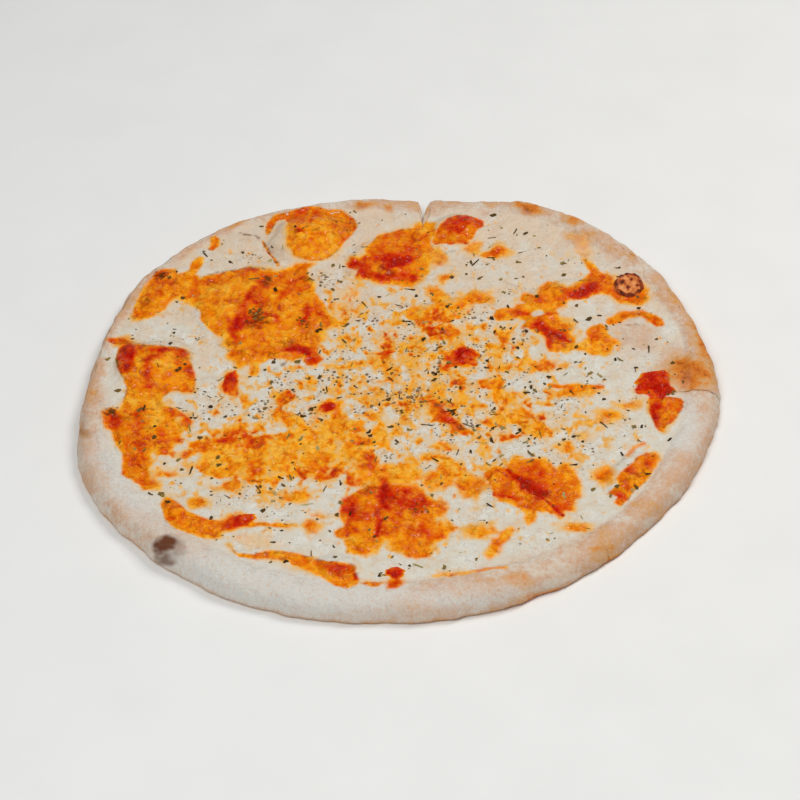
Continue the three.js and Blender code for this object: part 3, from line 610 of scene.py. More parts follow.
def patch_depth(x, y, outline):
    """How far inside a closed outline a place is, in millimetres; negative outside."""
    ring = outline + outline[:1]
    low = np.min(ring, 0) - FAR
    high = np.max(ring, 0) + FAR
    near = (x > low[0]) & (x < high[0]) & (y > low[1]) & (y < high[1])
    px = x[near]
    py = y[near]
    inside = np.zeros(px.shape, bool)
    for (x0, y0), (x1, y1) in zip(ring, ring[1:]):
        if y0 != y1:
            inside ^= ((y0 > py) != (y1 > py)) & (px < x0 + (py - y0) * (x1 - x0) / (y1 - y0))
    outside = streak_depth(px, py, ring, 0)
    depth = np.full(x.shape, -FAR)
    depth[near] = np.where(inside, -outside, outside)
    return depth


def ragged(x, y, push=1.9):
    """Places pushed about, so that drawn edges come out uneven."""
    return x + push * waves(x, y, 15, 11, 2), y + push * waves(x, y, 15, 21, 2)


inside = patch_depth(np.array([-36.0]), np.array([120.0]), POOLS[0][2])
print("a place on the back blister is", inside.round(1), "mm inside its edge")

# %% [markdown]
# ## Laying the sauce
# The marks are laid over each other as they came about: spots first, then the mottled centre, the pools,
# their tints and the streaks. Four fields come out of it: how fully sauce covers the cheese, how ripe its
# colour is, how much oil has soaked into the cheese, and how brown it is.

# %% Spots and the mottled centre
LONGER = 0.72  # marks are drawn out a little from front to back
MOTTLES = ((11, 45, 3), (4.4, 41, 2), (2.1, 47, 2))
PLAIN_RIPE = 0.25
SPOT_PUSH = 1.2
POOL_PUSH = 0.9


def zone_at(x, y):
    """How strongly sauce and cheese have mottled each other at a place."""
    zone = np.zeros(x.shape)
    for cx, cy, rx, ry, strength in SPECKLE_ZONES:
        zone = np.maximum(zone, strength * np.exp(-((x - cx) / rx) ** 2 - ((y - cy) / ry) ** 2))
    return zone


def lay_spots(lies, x, y, fray, soften):
    """Lays the spots of sauce on the cheese, each with its halo of oil."""
    for *oval, red, full in SAUCE_OVALS:
        edge = min(2.4, 0.32 * min(oval[2:4])) * soften
        depth = oval_depth(x, y, *oval) + 0.5 * edge * fray
        lies["sauce"] += (full - lies["sauce"]) * soft_step(-edge, edge, depth)
        lies["ripe"] += (red - lies["ripe"]) * soft_step(-2 * edge, 2.2 * edge, depth)
        lies["halo"] = np.maximum(lies["halo"], full * soft_step(-5, 3, depth + 1.5 * fray))


def mottle_centre(lies, blend, patches, spots, fine):
    """Breaks the centre's sauce up into mottles of three sizes, with oil soaked in round them."""
    zone = lies["zone"]
    soaked = soft_step(-0.4, 0.8, 0.7 * patches + 0.6 * spots + 0.3 * fine + 1.1 * zone - 0.52)
    lies["halo"] = np.maximum(lies["halo"], soaked * soft_step(0.05, 0.3, zone))
    thick = 0.75 * lies["sauce"] + 0.34 * zone + 0.55 * spots + 0.28 * fine + 0.35 * patches
    lies["sauce"] = lies["sauce"] + (soft_step(0.08, 0.86, thick) - lies["sauce"]) * blend
    lies["ripe"] = lies["ripe"] + blend * (0.22 * spots + 0.12 * fine - 0.07)


print("the middle mottles by", zone_at(np.zeros(1), np.zeros(1)).round(2))

# %% Pools, tints and streaks


def lay_pools(lies, x, y):
    """Lays the pools; returns the change of colour at their edges, their nearness and sharp outlines."""
    near_x, near_y = ragged(x, y, POOL_PUSH)
    chewed = wave_sum(x, LONGER * y, ((1.1, 5.5, 33, 2), (0.4, 2.4, 39, 1)))
    faded = soft_step(-0.3, 0.6, waves(x, y, 22, 37))
    edging = np.zeros(x.shape)
    beside = np.zeros(x.shape)
    outlined = np.zeros(x.shape)
    for red, feather, outline in POOLS:
        depth = patch_depth(near_x, near_y, outline) + feather * (0.4 + 0.9 * faded) * chewed
        edge = 0.8 + feather * (0.5 + 0.8 * faded)
        beside = np.maximum(beside, min(1, 0.7 * feather) * soft_step(-12, 1, depth))
        lies["sauce"] = np.maximum(lies["sauce"], soft_step(-edge, edge, depth))
        lies["ripe"] += (red - lies["ripe"]) * soft_step(-1.5, 1.5, depth)
        lies["halo"] = np.maximum(lies["halo"], faded * soft_step(-4.5, 1.5, depth))
        thin = np.exp(-((depth - 0.6) / (0.8 + feather)) ** 2)
        edging += (0.14 - 0.24 * min(feather, 1)) * thin * (1 - edging)
        sharp = soft_step(1.0, 0.6, feather)
        outlined = np.maximum(outlined, sharp * np.exp(-((depth - 0.2) / 0.8) ** 2))
    return edging, beside, outlined


def lay_streaks(lies, x, y, fray, soften):
    """Tints the pools and lays the streaks over them."""
    for *oval, red in TINTS:
        edge = min(2.6, 0.4 * min(oval[2:4])) * soften
        depth = oval_depth(x, y, *oval) + 0.5 * edge * fray
        lies["ripe"] += (red - lies["ripe"]) * soft_step(-0.8 * edge, 1.3 * edge, depth)
    for points, width, red, full in SAUCE_STREAKS:
        edge = 0.32 * width * soften
        depth = streak_depth(x, y, points, width) + 0.5 * edge * fray
        lies["sauce"] += (full - lies["sauce"]) * soft_step(-edge, edge, depth)
        lies["ripe"] += (red - lies["ripe"]) * soft_step(-2 * edge, 2 * edge, depth)


def stain_cheese(lies, x, y, beside, patches, spots, fine):
    """Small stains and a warm tint on the cheese, as far as the rim's foot."""
    on_cheese = soft_step(0, -7, np.hypot(x, y) - at_angle(rim_foot, bearing(x, y)))
    stains = soft_step(0.4, 1.2, 0.8 * spots + 0.4 * fine + 0.2 * beside + 0.5 * lies["zone"]) * on_cheese
    lies["sauce"] = np.maximum(lies["sauce"], 0.62 * stains)
    warm = 0.6 * patches + 0.6 * spots + 0.4 * fine + 0.2 * beside + 1.2 * lies["zone"] - 0.38
    lies["halo"] = np.maximum(lies["halo"], 0.68 * soft_step(-0.1, 1.0, warm) * on_cheese)


def wrinkle_skin(lies, x, y, edging):
    """Creases, veins and bubbles of the sauce's skin, and the blotches of its colour."""
    bent_x = x + 2.5 * waves(x, y, 9, 63, 2)
    bent_y = y + 2.5 * waves(x, y, 9, 67, 2)
    crease = (1 - np.abs(waves(bent_x, bent_y, 11, 69, 2))) ** 7
    veins = (1 - np.abs(waves(bent_x, bent_y, 6.5, 75, 2))) ** 5
    bubbles = soft_step(-0.1, 0.7, waves(bent_x, bent_y, 5, 77, 2))
    blotches = wave_sum(x, LONGER * y, ((0.2, 9, 61, 2), (0.14, 4, 65, 2)))
    ripe = lies["ripe"] + blotches + 0.14 * crease * lies["sauce"] + 0.06 * veins - 0.12 * bubbles + edging
    lies["ripe"] = np.clip(ripe - 0.25 * (1 - lies["sauce"]), 0, 1)
    lies.update(crease=crease, veins=veins, bubbles=bubbles)


print(len(TINTS) + len(SAUCE_STREAKS), "tints and streaks to lay")

# %% All of the sauce


def sauce_at(x, y):
    """Cover, ripeness, oily halo and browning of the sauce at places seen at the cheese's level."""
    fray = waves(x, y, 6, 31, 2)
    soften = 1 + 0.5 * waves(x, y, 28, 35)
    spot_x, spot_y = ragged(x, y, SPOT_PUSH)
    near_x, near_y = ragged(x, y, POOL_PUSH)
    patches, spots, fine = [waves(spot_x, LONGER * spot_y, *kind) for kind in MOTTLES]
    lies = {"sauce": np.zeros(x.shape), "ripe": np.full(x.shape, PLAIN_RIPE), "halo": np.zeros(x.shape),
            "zone": zone_at(x, y)}
    blend = soft_step(0.15, 0.5, lies["zone"])
    lay_spots(lies, spot_x, spot_y, fray, soften)
    mottle_centre(lies, blend, patches, spots, fine)
    edging, beside, outlined = lay_pools(lies, x, y)
    lay_streaks(lies, near_x, near_y, fray, soften)
    stain_cheese(lies, x, y, beside, patches, spots, fine)
    wrinkle_skin(lies, x, y, edging)
    brown = ovals_at(BROWN_OVALS, near_x, near_y, -1.5, 1.5, 1.2 * fray)
    for points, width, dark in BROWN_STREAKS:
        depth = streak_depth(near_x, near_y, points, width) + 0.8 * fray
        brown = np.maximum(brown, dark * soft_step(-0.8, 0.8, depth))
    brown = np.maximum(brown, 0.6 * outlined * soft_step(-0.5, 0.5, waves(x, y, 14, 83)))
    brown = brown * (0.4 + 0.6 * soft_step(-0.25, 0.3, waves(x, y, 2.4, 73, 2)))
    lines = lies["sauce"] * (0.24 * lies["veins"] + 0.42 * lies["crease"])
    brown = np.maximum(brown, lines * soft_step(-0.3, 0.6, waves(x, y, 17, 79, 2)))
    flecks = 0.34 * lies["sauce"] * blend
    lies["brown"] = np.maximum(brown, flecks * soft_step(0.45, 1.0, spots + 0.4 * fine))
    return lies


print("sauce at the middle", sauce_at(np.zeros(1), np.zeros(1))["sauce"].round(2))

# %% [markdown]
# ## How the rim baked
# The rim is dusted with flour and pale at the front and left, pinkish where it is only just baked, and
# orange-brown where it stood nearest the heat. The rows are ovals of browning: place, length, width,
# turn and amount (0.3 beige, 0.6 peach, 0.85 brown). Charred, floury and bare places, where the topping
# has drawn back from the dough, are rows of the same kind.

# %% Browned rim
RIM_BROWN = [
    (136, 8, 28, 28, 0, 0.8), (125, 11, 17, 26, 0, 0.6), (146, 35, 14, 70, 0, 0.74),
    (111, 38, 26, 26, 0, 0.32), (138, 62, 18, 44, 20, 0.56), (140, 75, 10, 14, 0, 0.55),
    (115, 97, 8, 8, 0, 0.6), (107, 104, 24, 18, -45, 0.35), (66, 136, 18, 11, -25, 0.86),
    (88, 127, 15, 10, -30, 0.72), (92, 112, 16, 14, 0, 0.5), (48, 143, 24, 5, -10, 0.5),
    (8, 142, 40, 10, 0, 0.42), (-5, 139, 10, 6, 0, 0.72), (-15, 142, 9, 6, 0, 0.85),
    (-76, 132, 26, 6, 32, 0.5), (-100, 112, 30, 16, 45, 0.32), (-130, 72, 50, 12, 58, 0.38),
    (-146, 18, 12, 60, 0, 0.42), (-146, -18, 9, 11, 0, 0.62), (-141, -42, 12, 34, 10, 0.42),
    (-134, -58, 12, 10, 0, 0.42), (-124, -74, 24, 14, -45, 0.34), (-108, -78, 30, 12, -48, 0.3),
    (-86, -104, 26, 10, -20, 0.34), (0, -140, 60, 14, 0, 0.4), (30, -130, 50, 16, 8, 0.42),
    (50, -126, 18, 10, 10, 0.6), (55, -137, 40, 10, 18, 0.55), (88, -105, 34, 22, 40, 0.48),
    (84, -106, 18, 10, 40, 0.58), (110, -82, 24, 16, 45, 0.44), (128, -58, 24, 32, -20, 0.4),
    (140, -25, 12, 40, 0, 0.3), (122, -48, 16, 8, 20, 0.5), (140, -44, 8, 16, 0, 0.45),
]
CHARRED = [
    (-105.5, -97, 10, 11, 20, 1.0), (-106, -105, 10, 8, 0, 0.8), (-101, -98, 9, 12, 0, 0.45),
    (-146, -18, 6, 7, 0, 0.35),
]
FLOURY = [
    (-60, -122, 100, 34, -18, 1), (-30, -132, 60, 24, -6, 1), (-120, -55, 60, 26, -58, 1),
    (122, -28, 26, 36, 0, 1), (20, -135, 40, 10, 4, 1),
]
BARE = [
    (111, 38, 26, 26, 0, 0.8), (106, 98, 22, 24, 0, 0.65), (90, 112, 17, 24, 0, 0.75),
    (84, 104, 12, 8, 20, 0.5), (132, 12, 32, 34, 0, 1.0), (-70, 122, 20, 8, 30, 0.5),
    (60, -112, 30, 10, 20, 0.4),
]
PALE = 0.2
PALE_SLICE = 0.36
BAKE_PUSH = 4


def baking_at(x, y, z):
    """How brown, floury and charred the dough is at places seen at the cheese's level."""
    u = x + BAKE_PUSH * waves(x, y, 14, 71, 3)
    v = y + BAKE_PUSH * waves(x, y, 14, 81, 3)
    darker = [(*row[:5], row[5] - PALE) for row in RIM_BROWN]
    brown = PALE + ovals_at(darker, u, v, -0.3, 0.4, relative=True)
    # past the cut at the right, the next slice baked paler
    next_slice = soft_step(1, -1, y + 0.035 * x + 0.8 * waves(x, y, 5, 93)) * soft_step(112, 124, x)
    brown = brown + (np.minimum(brown, PALE_SLICE) - brown) * next_slice
    flour = ovals_at(FLOURY, u, v, -10, 6)
    freckle = soft_step(0.2, 0.8, waves(x, y, 4.5, 91, 3)) * (1 - 0.9 * flour)
    under = soft_step(3.5, 0.3, z)
    brown = brown + 0.11 * freckle + 0.13 * waves(x, y, 12, 95, 3) * (1 - 0.5 * flour) + 0.3 * under
    bare = ovals_at(BARE, u, v, -0.3, 0.35, relative=True)
    char = ovals_at(CHARRED, u, v, -3, 3, 1.5 * waves(x, y, 4, 97, 2))
    return {"bake": np.clip(brown, 0, 1), "flour": flour * (1 - 0.6 * under), "char": char, "bare": bare}


print(len(RIM_BROWN), "browned places on the rim")

# %% [markdown]
# ## The cuts
# Four strokes of the wheel cut the pizza into eight slices that still lie together. Each row is one cut
# from the middle to the rim: direction, how wide it gapes at the rim and over which radii it opens, how
# deep its groove is at the rim, and the stretch and depth of it that show on the topping. Hot cheese
# closes most of a cut again, so there a slice reaches a little past the cut, just under its neighbour.

# %% Cut directions
CUTS = [
    (-2, 0.7, 126, 142, 0.8, 122, 150, 0.6), (41, 0, 0, 1, 0, 0, 0, 0),
    (84, 7.5, 131, 148, 0.5, 122, 150, 0.5), (120, 0, 0, 1, 0.1, 114, 142, 0.3), (185, 0, 0, 1, 0, 0, 0, 0),
    (222, 0, 0, 1, 0, 0, 0, 0), (263, 0.6, 142, 148, 0.3, 140, 150, 0.3),
    (310, 1.2, 138, 143, 0.3, 68, 90, 0.6),
]
LAP = 0.5
LAP_DIP = 0.08
LAP_START = 5
NEAR_RIM = 140.0
MID_SLICE = 100.0
LIP = 0.9


def half_gap(cut, radius):
    """Half the width of a cut at some distance from the middle, in millimetres."""
    return 0.5 * cut[1] * soft_step(cut[2], cut[3], radius)


def between_cuts(number, radius, share):
    """Directions in radians at a share of the way from a slice's first cut to its second."""
    first = CUTS[number - 1]
    second = CUTS[number % len(CUTS)]
    ends = []
    for cut in (first, second):
        gap = half_gap(cut, radius)
        lap = LAP * np.minimum(radius / LAP_START, 1) * soft_step(0.2, 0.0, gap)
        ends.append(np.arcsin((gap - lap) / radius))
    start = math.radians(first[0]) + ends[0]
    end = math.radians(second[0] + (360 if number == len(CUTS) else 0)) - ends[1]
    return start + share * (end - start)


def slice_size(number):
    """The angle between a slice's two cuts near the rim, in radians, and its outer radius."""
    ends = between_cuts(number, np.array([NEAR_RIM]), np.array([0.0, 1.0]))
    turn = np.degrees(between_cuts(number, np.array([MID_SLICE]), 0.5))
    return float(ends[1] - ends[0]), float(outer_at(turn)[0])


def past_cut(number, x, y):
    """How far places of a slice reach past its two cuts, as a share of the lap."""
    past = np.zeros(x.shape)
    for cut, side in ((CUTS[number - 1], -1), (CUTS[number % len(CUTS)], 1)):
        c, s = direction(cut[0])
        past = np.maximum(past, side * (y * c - x * s) / LAP)
    return np.clip(past, 0, 1)


def groove(x, y, at_rim):
    """How deep the rounded lips of the cuts sink a place, in millimetres."""
    radius = np.hypot(x, y)
    sink = np.zeros(x.shape)
    for cut in CUTS:
        rim_depth, begin, stop, depth = cut[4:]
        c, s = direction(cut[0])
        ahead = x * c + y * s > 0
        aside = np.maximum(np.abs(y * c - x * s) - half_gap(cut, radius), 0)
        if at_rim:
            shown = rim_depth
        elif stop:
            shown = depth * soft_step(begin - 6, begin + 4, radius) * soft_step(stop + 6, stop - 4, radius)
        else:
            shown = 0.0
        sink = np.maximum(sink, np.where(ahead, shown * np.exp(-(aside / LIP) ** 2), 0))
    return sink


print("slices of", [round(math.degrees(slice_size(number)[0])) for number in SLICES], "degrees")

# %% [markdown]
# ## The swelling of pools and blisters
# The CAD solids say where steam has lifted the sauce. A ray cast straight down onto them at each
# millimetre gives their height over the cheese; a slight blur melts their edges into it.

# %% Heights over the cheese
CHEESE_LEVEL = 8.3
HALF_GRID = 152
BLUR_WIDTH = 1.6
BLUR = np.exp(-0.5 * (np.arange(-5, 6) / BLUR_WIDTH) ** 2)
RAY_START = 0.05
RAY_LENGTH = 0.1


def lift_over_cheese(nodes):
    """A grid of heights over the cheese's level, one place a millimetre, from CAD solids."""
    corners = []
    faces = []
    for node in nodes:
        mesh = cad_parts[node].data
        start = len(corners)
        corners += [v.co.copy() for v in mesh.vertices]
        faces += [[start + v for v in polygon.vertices] for polygon in mesh.polygons]
    solid = BVHTree.FromPolygons(corners, faces)
    steps = range(-HALF_GRID, HALF_GRID + 1)
    lift = np.zeros((len(steps), len(steps)))
    for row, py in enumerate(steps):
        for column, px in enumerate(steps):
            place = Vector(((px + middle[0]) / 1000, (py + middle[1]) / 1000, RAY_START))
            hit = solid.ray_cast(place, Vector((0, 0, -1)), RAY_LENGTH)[0]
            if hit is not None:
                lift[row, column] = max(hit.z * 1000 - CHEESE_LEVEL, 0)
    weights = BLUR / BLUR.sum()
    lift = np.apply_along_axis(np.convolve, 0, lift, weights, "same")
    return np.apply_along_axis(np.convolve, 1, lift, weights, "same")


def from_grid(grid, x, y):
    """Values of a millimetre grid between its places."""
    u = np.clip(x + HALF_GRID, 0, 2 * HALF_GRID - 1.001)
    v = np.clip(y + HALF_GRID, 0, 2 * HALF_GRID - 1.001)
    i = u.astype(int)
    j = v.astype(int)
    fu = u - i
    fv = v - j
    near = grid[j, i] * (1 - fu) + grid[j, i + 1] * fu
    far = grid[j + 1, i] * (1 - fu) + grid[j + 1, i + 1] * fu
    return near * (1 - fv) + far * fv


sauce_nodes = sorted(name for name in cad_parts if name.startswith("sauce_"))
sauce_lift = lift_over_cheese(sauce_nodes)
print("sauce stands up to", sauce_lift.max().round(1), "mm over the cheese")

# %% [markdown]
# ## The topping's surface
# One function gives the height of the topping and all that lies at a place: the cheese's own level, the
# swelling of the sauce, wrinkles on the skin of pools, the curds' softer lumps, and an uneven edge that
# thins out on the rim's slope. Every piece that lies on the topping asks the same function.

# %% Topping heights
VIEW_DEGREES = 41.7
SEEN_SLOPE = 1 / math.tan(math.radians(VIEW_DEGREES))
DRAWN_LEVEL = 8
FILM = 0.4
MELT = 0.7
LEVEL_WAVES = ((0.3, 16, 131, 2),)
SWELL_WAVES = ((0.5, 13, 143, 2), (0.12, 2.4, 151, 2))
CURD_WAVES = ((0.32, 7, 161, 2), (0.25, 15, 163, 1), (0.06, 2, 165, 2))
BROWN_DIP = 0.25


def drawn_at(y, height):
    """How far back a place at some height was seen and drawn."""
    return y + (height - DRAWN_LEVEL) * SEEN_SLOPE


def topping_at(x, y):
    """Heights of the topping in millimetres, and what lies at each place."""
    dough, across = crust_top(x, y)
    u, v = ragged(x, y)
    edge_push = 0.16 * waves(x, y, 13, 121, 3)
    lift = from_grid(sauce_lift, u, v)
    on_rim = across > -0.05
    drawn = drawn_at(y, np.maximum(dough + FILM, CHEESE_LEVEL + lift))
    spilled = np.zeros(x.shape)
    spilled[on_rim] = soft_step(0.1, 0.5, sauce_at(x[on_rim], drawn[on_rim])["sauce"])
    reach = across - 0.14 * spilled
    lift = lift * (1 - soft_step(0.15, 0.5, reach))
    level = CHEESE_LEVEL + wave_sum(x, y, LEVEL_WAVES) + lift * (1 + 0.12 * waves(x, y, 11, 135, 2))
    film = FILM + 0.3 * spilled - 0.75 * soft_step(0.05, 0.48, across + edge_push) * (1 - spilled)
    film = film - 1.2 * soft_step(0.4, 0.5, reach)
    height = 0.5 * (level + dough + film + np.sqrt((level - dough - film) ** 2 + MELT))
    drawn = drawn_at(y, height)
    lies = sauce_at(x, drawn)
    lies.update(baking_at(x, drawn, height), across=across)
    lies["rim"] = np.maximum(soft_step(-0.25, 0.25, across + edge_push), lies["bare"])
    creamy = 0.8 * soft_step(-50, 130, y) + 0.5 * waves(x, LONGER * y, 8, 155, 3)
    creamy = creamy + 0.3 * waves(x, y, 26, 157)
    lies["cream"] = 0.75 * soft_step(0.1, 1.0, creamy)
    cover = lies["sauce"]
    ridges = 1 - np.abs(waves(x, y, 6, 141, 2))
    swell = 0.3 * ridges ** 2 + 0.6 * lies["bubbles"] - 0.45 * lies["veins"] - 0.4 * lies["crease"]
    wrinkles = cover * (swell + wave_sum(x, y, SWELL_WAVES) - 0.1)
    curds = (1 - cover) * (wave_sum(x, y, CURD_WAVES) + 0.1)
    height = height + wrinkles + curds - groove(x, y, False)
    return height - BROWN_DIP * lies["brown"] * (1 - 0.5 * cover), lies


print("topping at the middle", topping_at(np.zeros(1), np.zeros(1))[0].round(2))

# %% [markdown]
# ## Meshes from rows of points
# A slice is narrow at its tip and wide at the rim, so its rows of points hold more and more points.
# Neighbouring rows are stitched with triangles of nearly equal size, the open edge is found, and walls
# and a floor close the piece.

# %% Stitching and closing


def stitch(inner, outer):
    """Triangles between two rows of point numbers, whatever the count in each."""
    steps_in = (np.arange(len(inner) - 1) + 0.5) / max(len(inner) - 1, 1)
    steps_out = (np.arange(len(outer) - 1) + 0.5) / max(len(outer) - 1, 1)
    order = np.argsort(np.concatenate([steps_in, steps_out]), kind="stable")
    from_inner = order < len(steps_in)
    a = np.cumsum(from_inner) - from_inner
    b = np.cumsum(~from_inner) - ~from_inner
    next_in = inner[np.minimum(a + 1, len(inner) - 1)]
    next_out = outer[np.minimum(b + 1, len(outer) - 1)]
    return np.stack([inner[a], outer[b], np.where(from_inner, next_in, next_out)], 1)


def open_edge(faces):
    """The open edge of a sheet of triangles, as one loop of point numbers."""
    sides = np.concatenate([faces[:, [0, 1]], faces[:, [1, 2]], faces[:, [2, 0]]])
    many = faces.max() + 1
    lone = ~np.isin(sides[:, 0] * many + sides[:, 1], sides[:, 1] * many + sides[:, 0])
    after = dict(sides[lone].tolist())
    loop = [next(iter(after))]
    while after[loop[-1]] != loop[0]:
        loop.append(after[loop[-1]])
    return np.array(loop)


strip = stitch(np.arange(3), np.arange(3, 8))
print("rows of 3 and 5 points join by", len(strip), "triangles with", len(open_edge(strip)), "open edges")

# %% [markdown]
# Every piece becomes a mesh with its fields as point attributes, which the materials read by name. Walls
# and floors are shaded flat and the surface smooth.

# %% Pieces from points


def new_piece(name, points, faces, flat_count, values, material):
    """A mesh object from points in millimetres; the first flat_count faces are shaded flat."""
    mesh = bpy.data.meshes.new(name)
    places = points.copy()
    places[:, :2] += middle
    mesh.from_pydata((places / 1000).tolist(), [], faces)
    mesh.polygons.foreach_set("use_smooth", np.arange(len(faces)) >= flat_count)
    for key, value in values.items():
        layer = mesh.attributes.new(key, "FLOAT", "POINT")
        layer.data.foreach_set("value", np.asarray(value, np.float32))
    mesh.materials.append(material)
    mesh.update()
    piece = bpy.data.objects.new(name, mesh)
    bpy.context.scene.collection.objects.link(piece)
    return piece


def closed_piece(name, points, faces, floor_points, values, material):
    """A height field closed by walls from its open edge down to floor_points(edge points)."""
    loop = open_edge(faces)
    low = floor_points(points[loop])
    below = np.arange(len(loop)) + len(points)
    after = np.roll(np.arange(len(loop)), -1)
    walls = np.stack([loop, below, below[after], loop[after]], 1)
    sides = walls.tolist() + [below[::-1].tolist()]
    places = np.concatenate([points, low])
    fields = {key: np.concatenate([value, value[loop]]) for key, value in values.items()}
    return new_piece(name, places, sides + faces.tolist(), len(sides), fields, material)


# %% [markdown]
# ## Colours and nodes
# Colours are written as sRGB hex, as a colour picker shows them, and turned to the linear values that
# shaders use. One helper adds a node with its settings and links; pattern sizes are in millimetres.

# %% Helpers for materials


def linear(hex_code):
    """An sRGB hex colour as linear RGBA."""
    parts = [int(hex_code[i:i + 2], 16) / 255 for i in (1, 3, 5)]
    return [c / 12.92 if c <= 0.04045 else ((c + 0.055) / 1.055) ** 2.4 for c in parts] + [1.0]


def add(tree, kind, inputs=(), stops=(), out=0, **settings):
    """One new node: its settings, its inputs (values or other nodes' outputs), a ramp's colour stops.

    Gives the output that out names, or the node itself where out is None.
    """
    node = tree.nodes.new(kind)
    for key, value in settings.items():
        setattr(node, key, value)
    for key, value in dict(inputs).items():
        if isinstance(value, bpy.types.NodeSocket):
            tree.links.new(value, node.inputs[key])
        else:
            node.inputs[key].default_value = value
    for number, (place, colour) in enumerate(stops):
        elements = node.color_ramp.elements
        stop = elements[number] if number < 2 else elements.new(place)
        stop.position = place
        stop.color = linear(colour)
    return node if out is None else node.outputs[out]


def new_material(name):
    """An empty node material with the piece's own coordinates."""
    material = bpy.data.materials.new(name)
    material.use_nodes = True
    tree = material.node_tree
    tree.nodes.clear()
    places = add(tree, "ShaderNodeTexCoord", out="Object")
    return material, tree, places


def per_mm(size):
    """The scale of a texture whose features are about size millimetres across, on pieces in metres."""
    return 1000 / size


print("an orange in linear values", [round(c, 3) for c in linear("#F28204")])

# %% [markdown]
# ## The colours of baked dough
# Baked wheat dough goes from floury white through beige and peach to brown as it bakes, with freckles
# where small blisters caught, and loose flour fills the hollows. The same colours also show at the
# topping's thin edge, so they are made by one function that both materials use.

# %% Dough colours


def dough_colour(tree, places):
    """The colour of baked dough, from the fields bake, flour and char."""
    bake, flour, char = [add(tree, "ShaderNodeAttribute", attribute_name=field, out="Fac")
                         for field in ("bake", "flour", "char")]
    mottle = add(tree, "ShaderNodeTexNoise",
                 {"Vector": places, "Scale": per_mm(2.4), "Detail": 7, "Roughness": 0.72})
    spread = add(tree, "ShaderNodeMapRange",
                 {"Value": mottle, "From Min": 0.3, "From Max": 0.7, "To Min": -0.16, "To Max": 0.16})
    tone = add(tree, "ShaderNodeMath", {0: bake, 1: spread}, operation="ADD")
    colour = add(tree, "ShaderNodeValToRGB", {"Fac": tone},
                 [(0.0, "#DEDCD6"), (1.0, "#A05820"), (0.2, "#DAC8B4"), (0.36, "#D6B094"),
                  (0.55, "#D8A66E"), (0.72, "#DC8A36"), (0.86, "#D07024")])
    grains = add(tree, "ShaderNodeTexNoise", {"Vector": places, "Scale": per_mm(1.6), "Detail": 5})
    grains = add(tree, "ShaderNodeMapRange",
                 {"Value": grains, "From Min": 0.2, "From Max": 0.5, "To Max": 0.85})
    dusted = add(tree, "ShaderNodeMath", {0: flour, 1: grains}, operation="MULTIPLY")
    speck = add(tree, "ShaderNodeTexNoise", {"Vector": places, "Scale": per_mm(0.9), "Detail": 3})
    pale = add(tree, "ShaderNodeMapRange",
               {"Value": speck, "From Min": 0.54, "From Max": 0.7, "To Max": 0.25})
    unbaked = add(tree, "ShaderNodeMapRange", {"Value": bake, "From Min": 0.8, "From Max": 0.5})
    pale = add(tree, "ShaderNodeMath", {0: pale, 1: unbaked}, operation="MULTIPLY")
    dark = add(tree, "ShaderNodeMapRange",
               {"Value": speck, "From Min": 0.46, "From Max": 0.3, "To Max": 0.2})
    for amount, coat in ((dusted, "#DADCD8"), (pale, "#EEE8E0"), (dark, "#AE7C5C"), (char, "#6C4029")):
        colour = add(tree, "ShaderNodeMix",
                     {0: amount, 6: colour, 7: linear(coat)}, data_type="RGBA", out=2)
    return colour


# %% [markdown]
# ## Melted mozzarella and tomato sauce
# Melted mozzarella is milky, white with cream and grey where it lies thin. The sauce between its curds
# is oil and cooked tomato: yellow where only oil has soaked in, orange where it is thin, red where it
# lies thick, and brown where it caught. Both are moist, so they shine softly. The fields painted on the
# points choose the colour, and finer noise breaks it up below their spacing.

# %% The topping's material


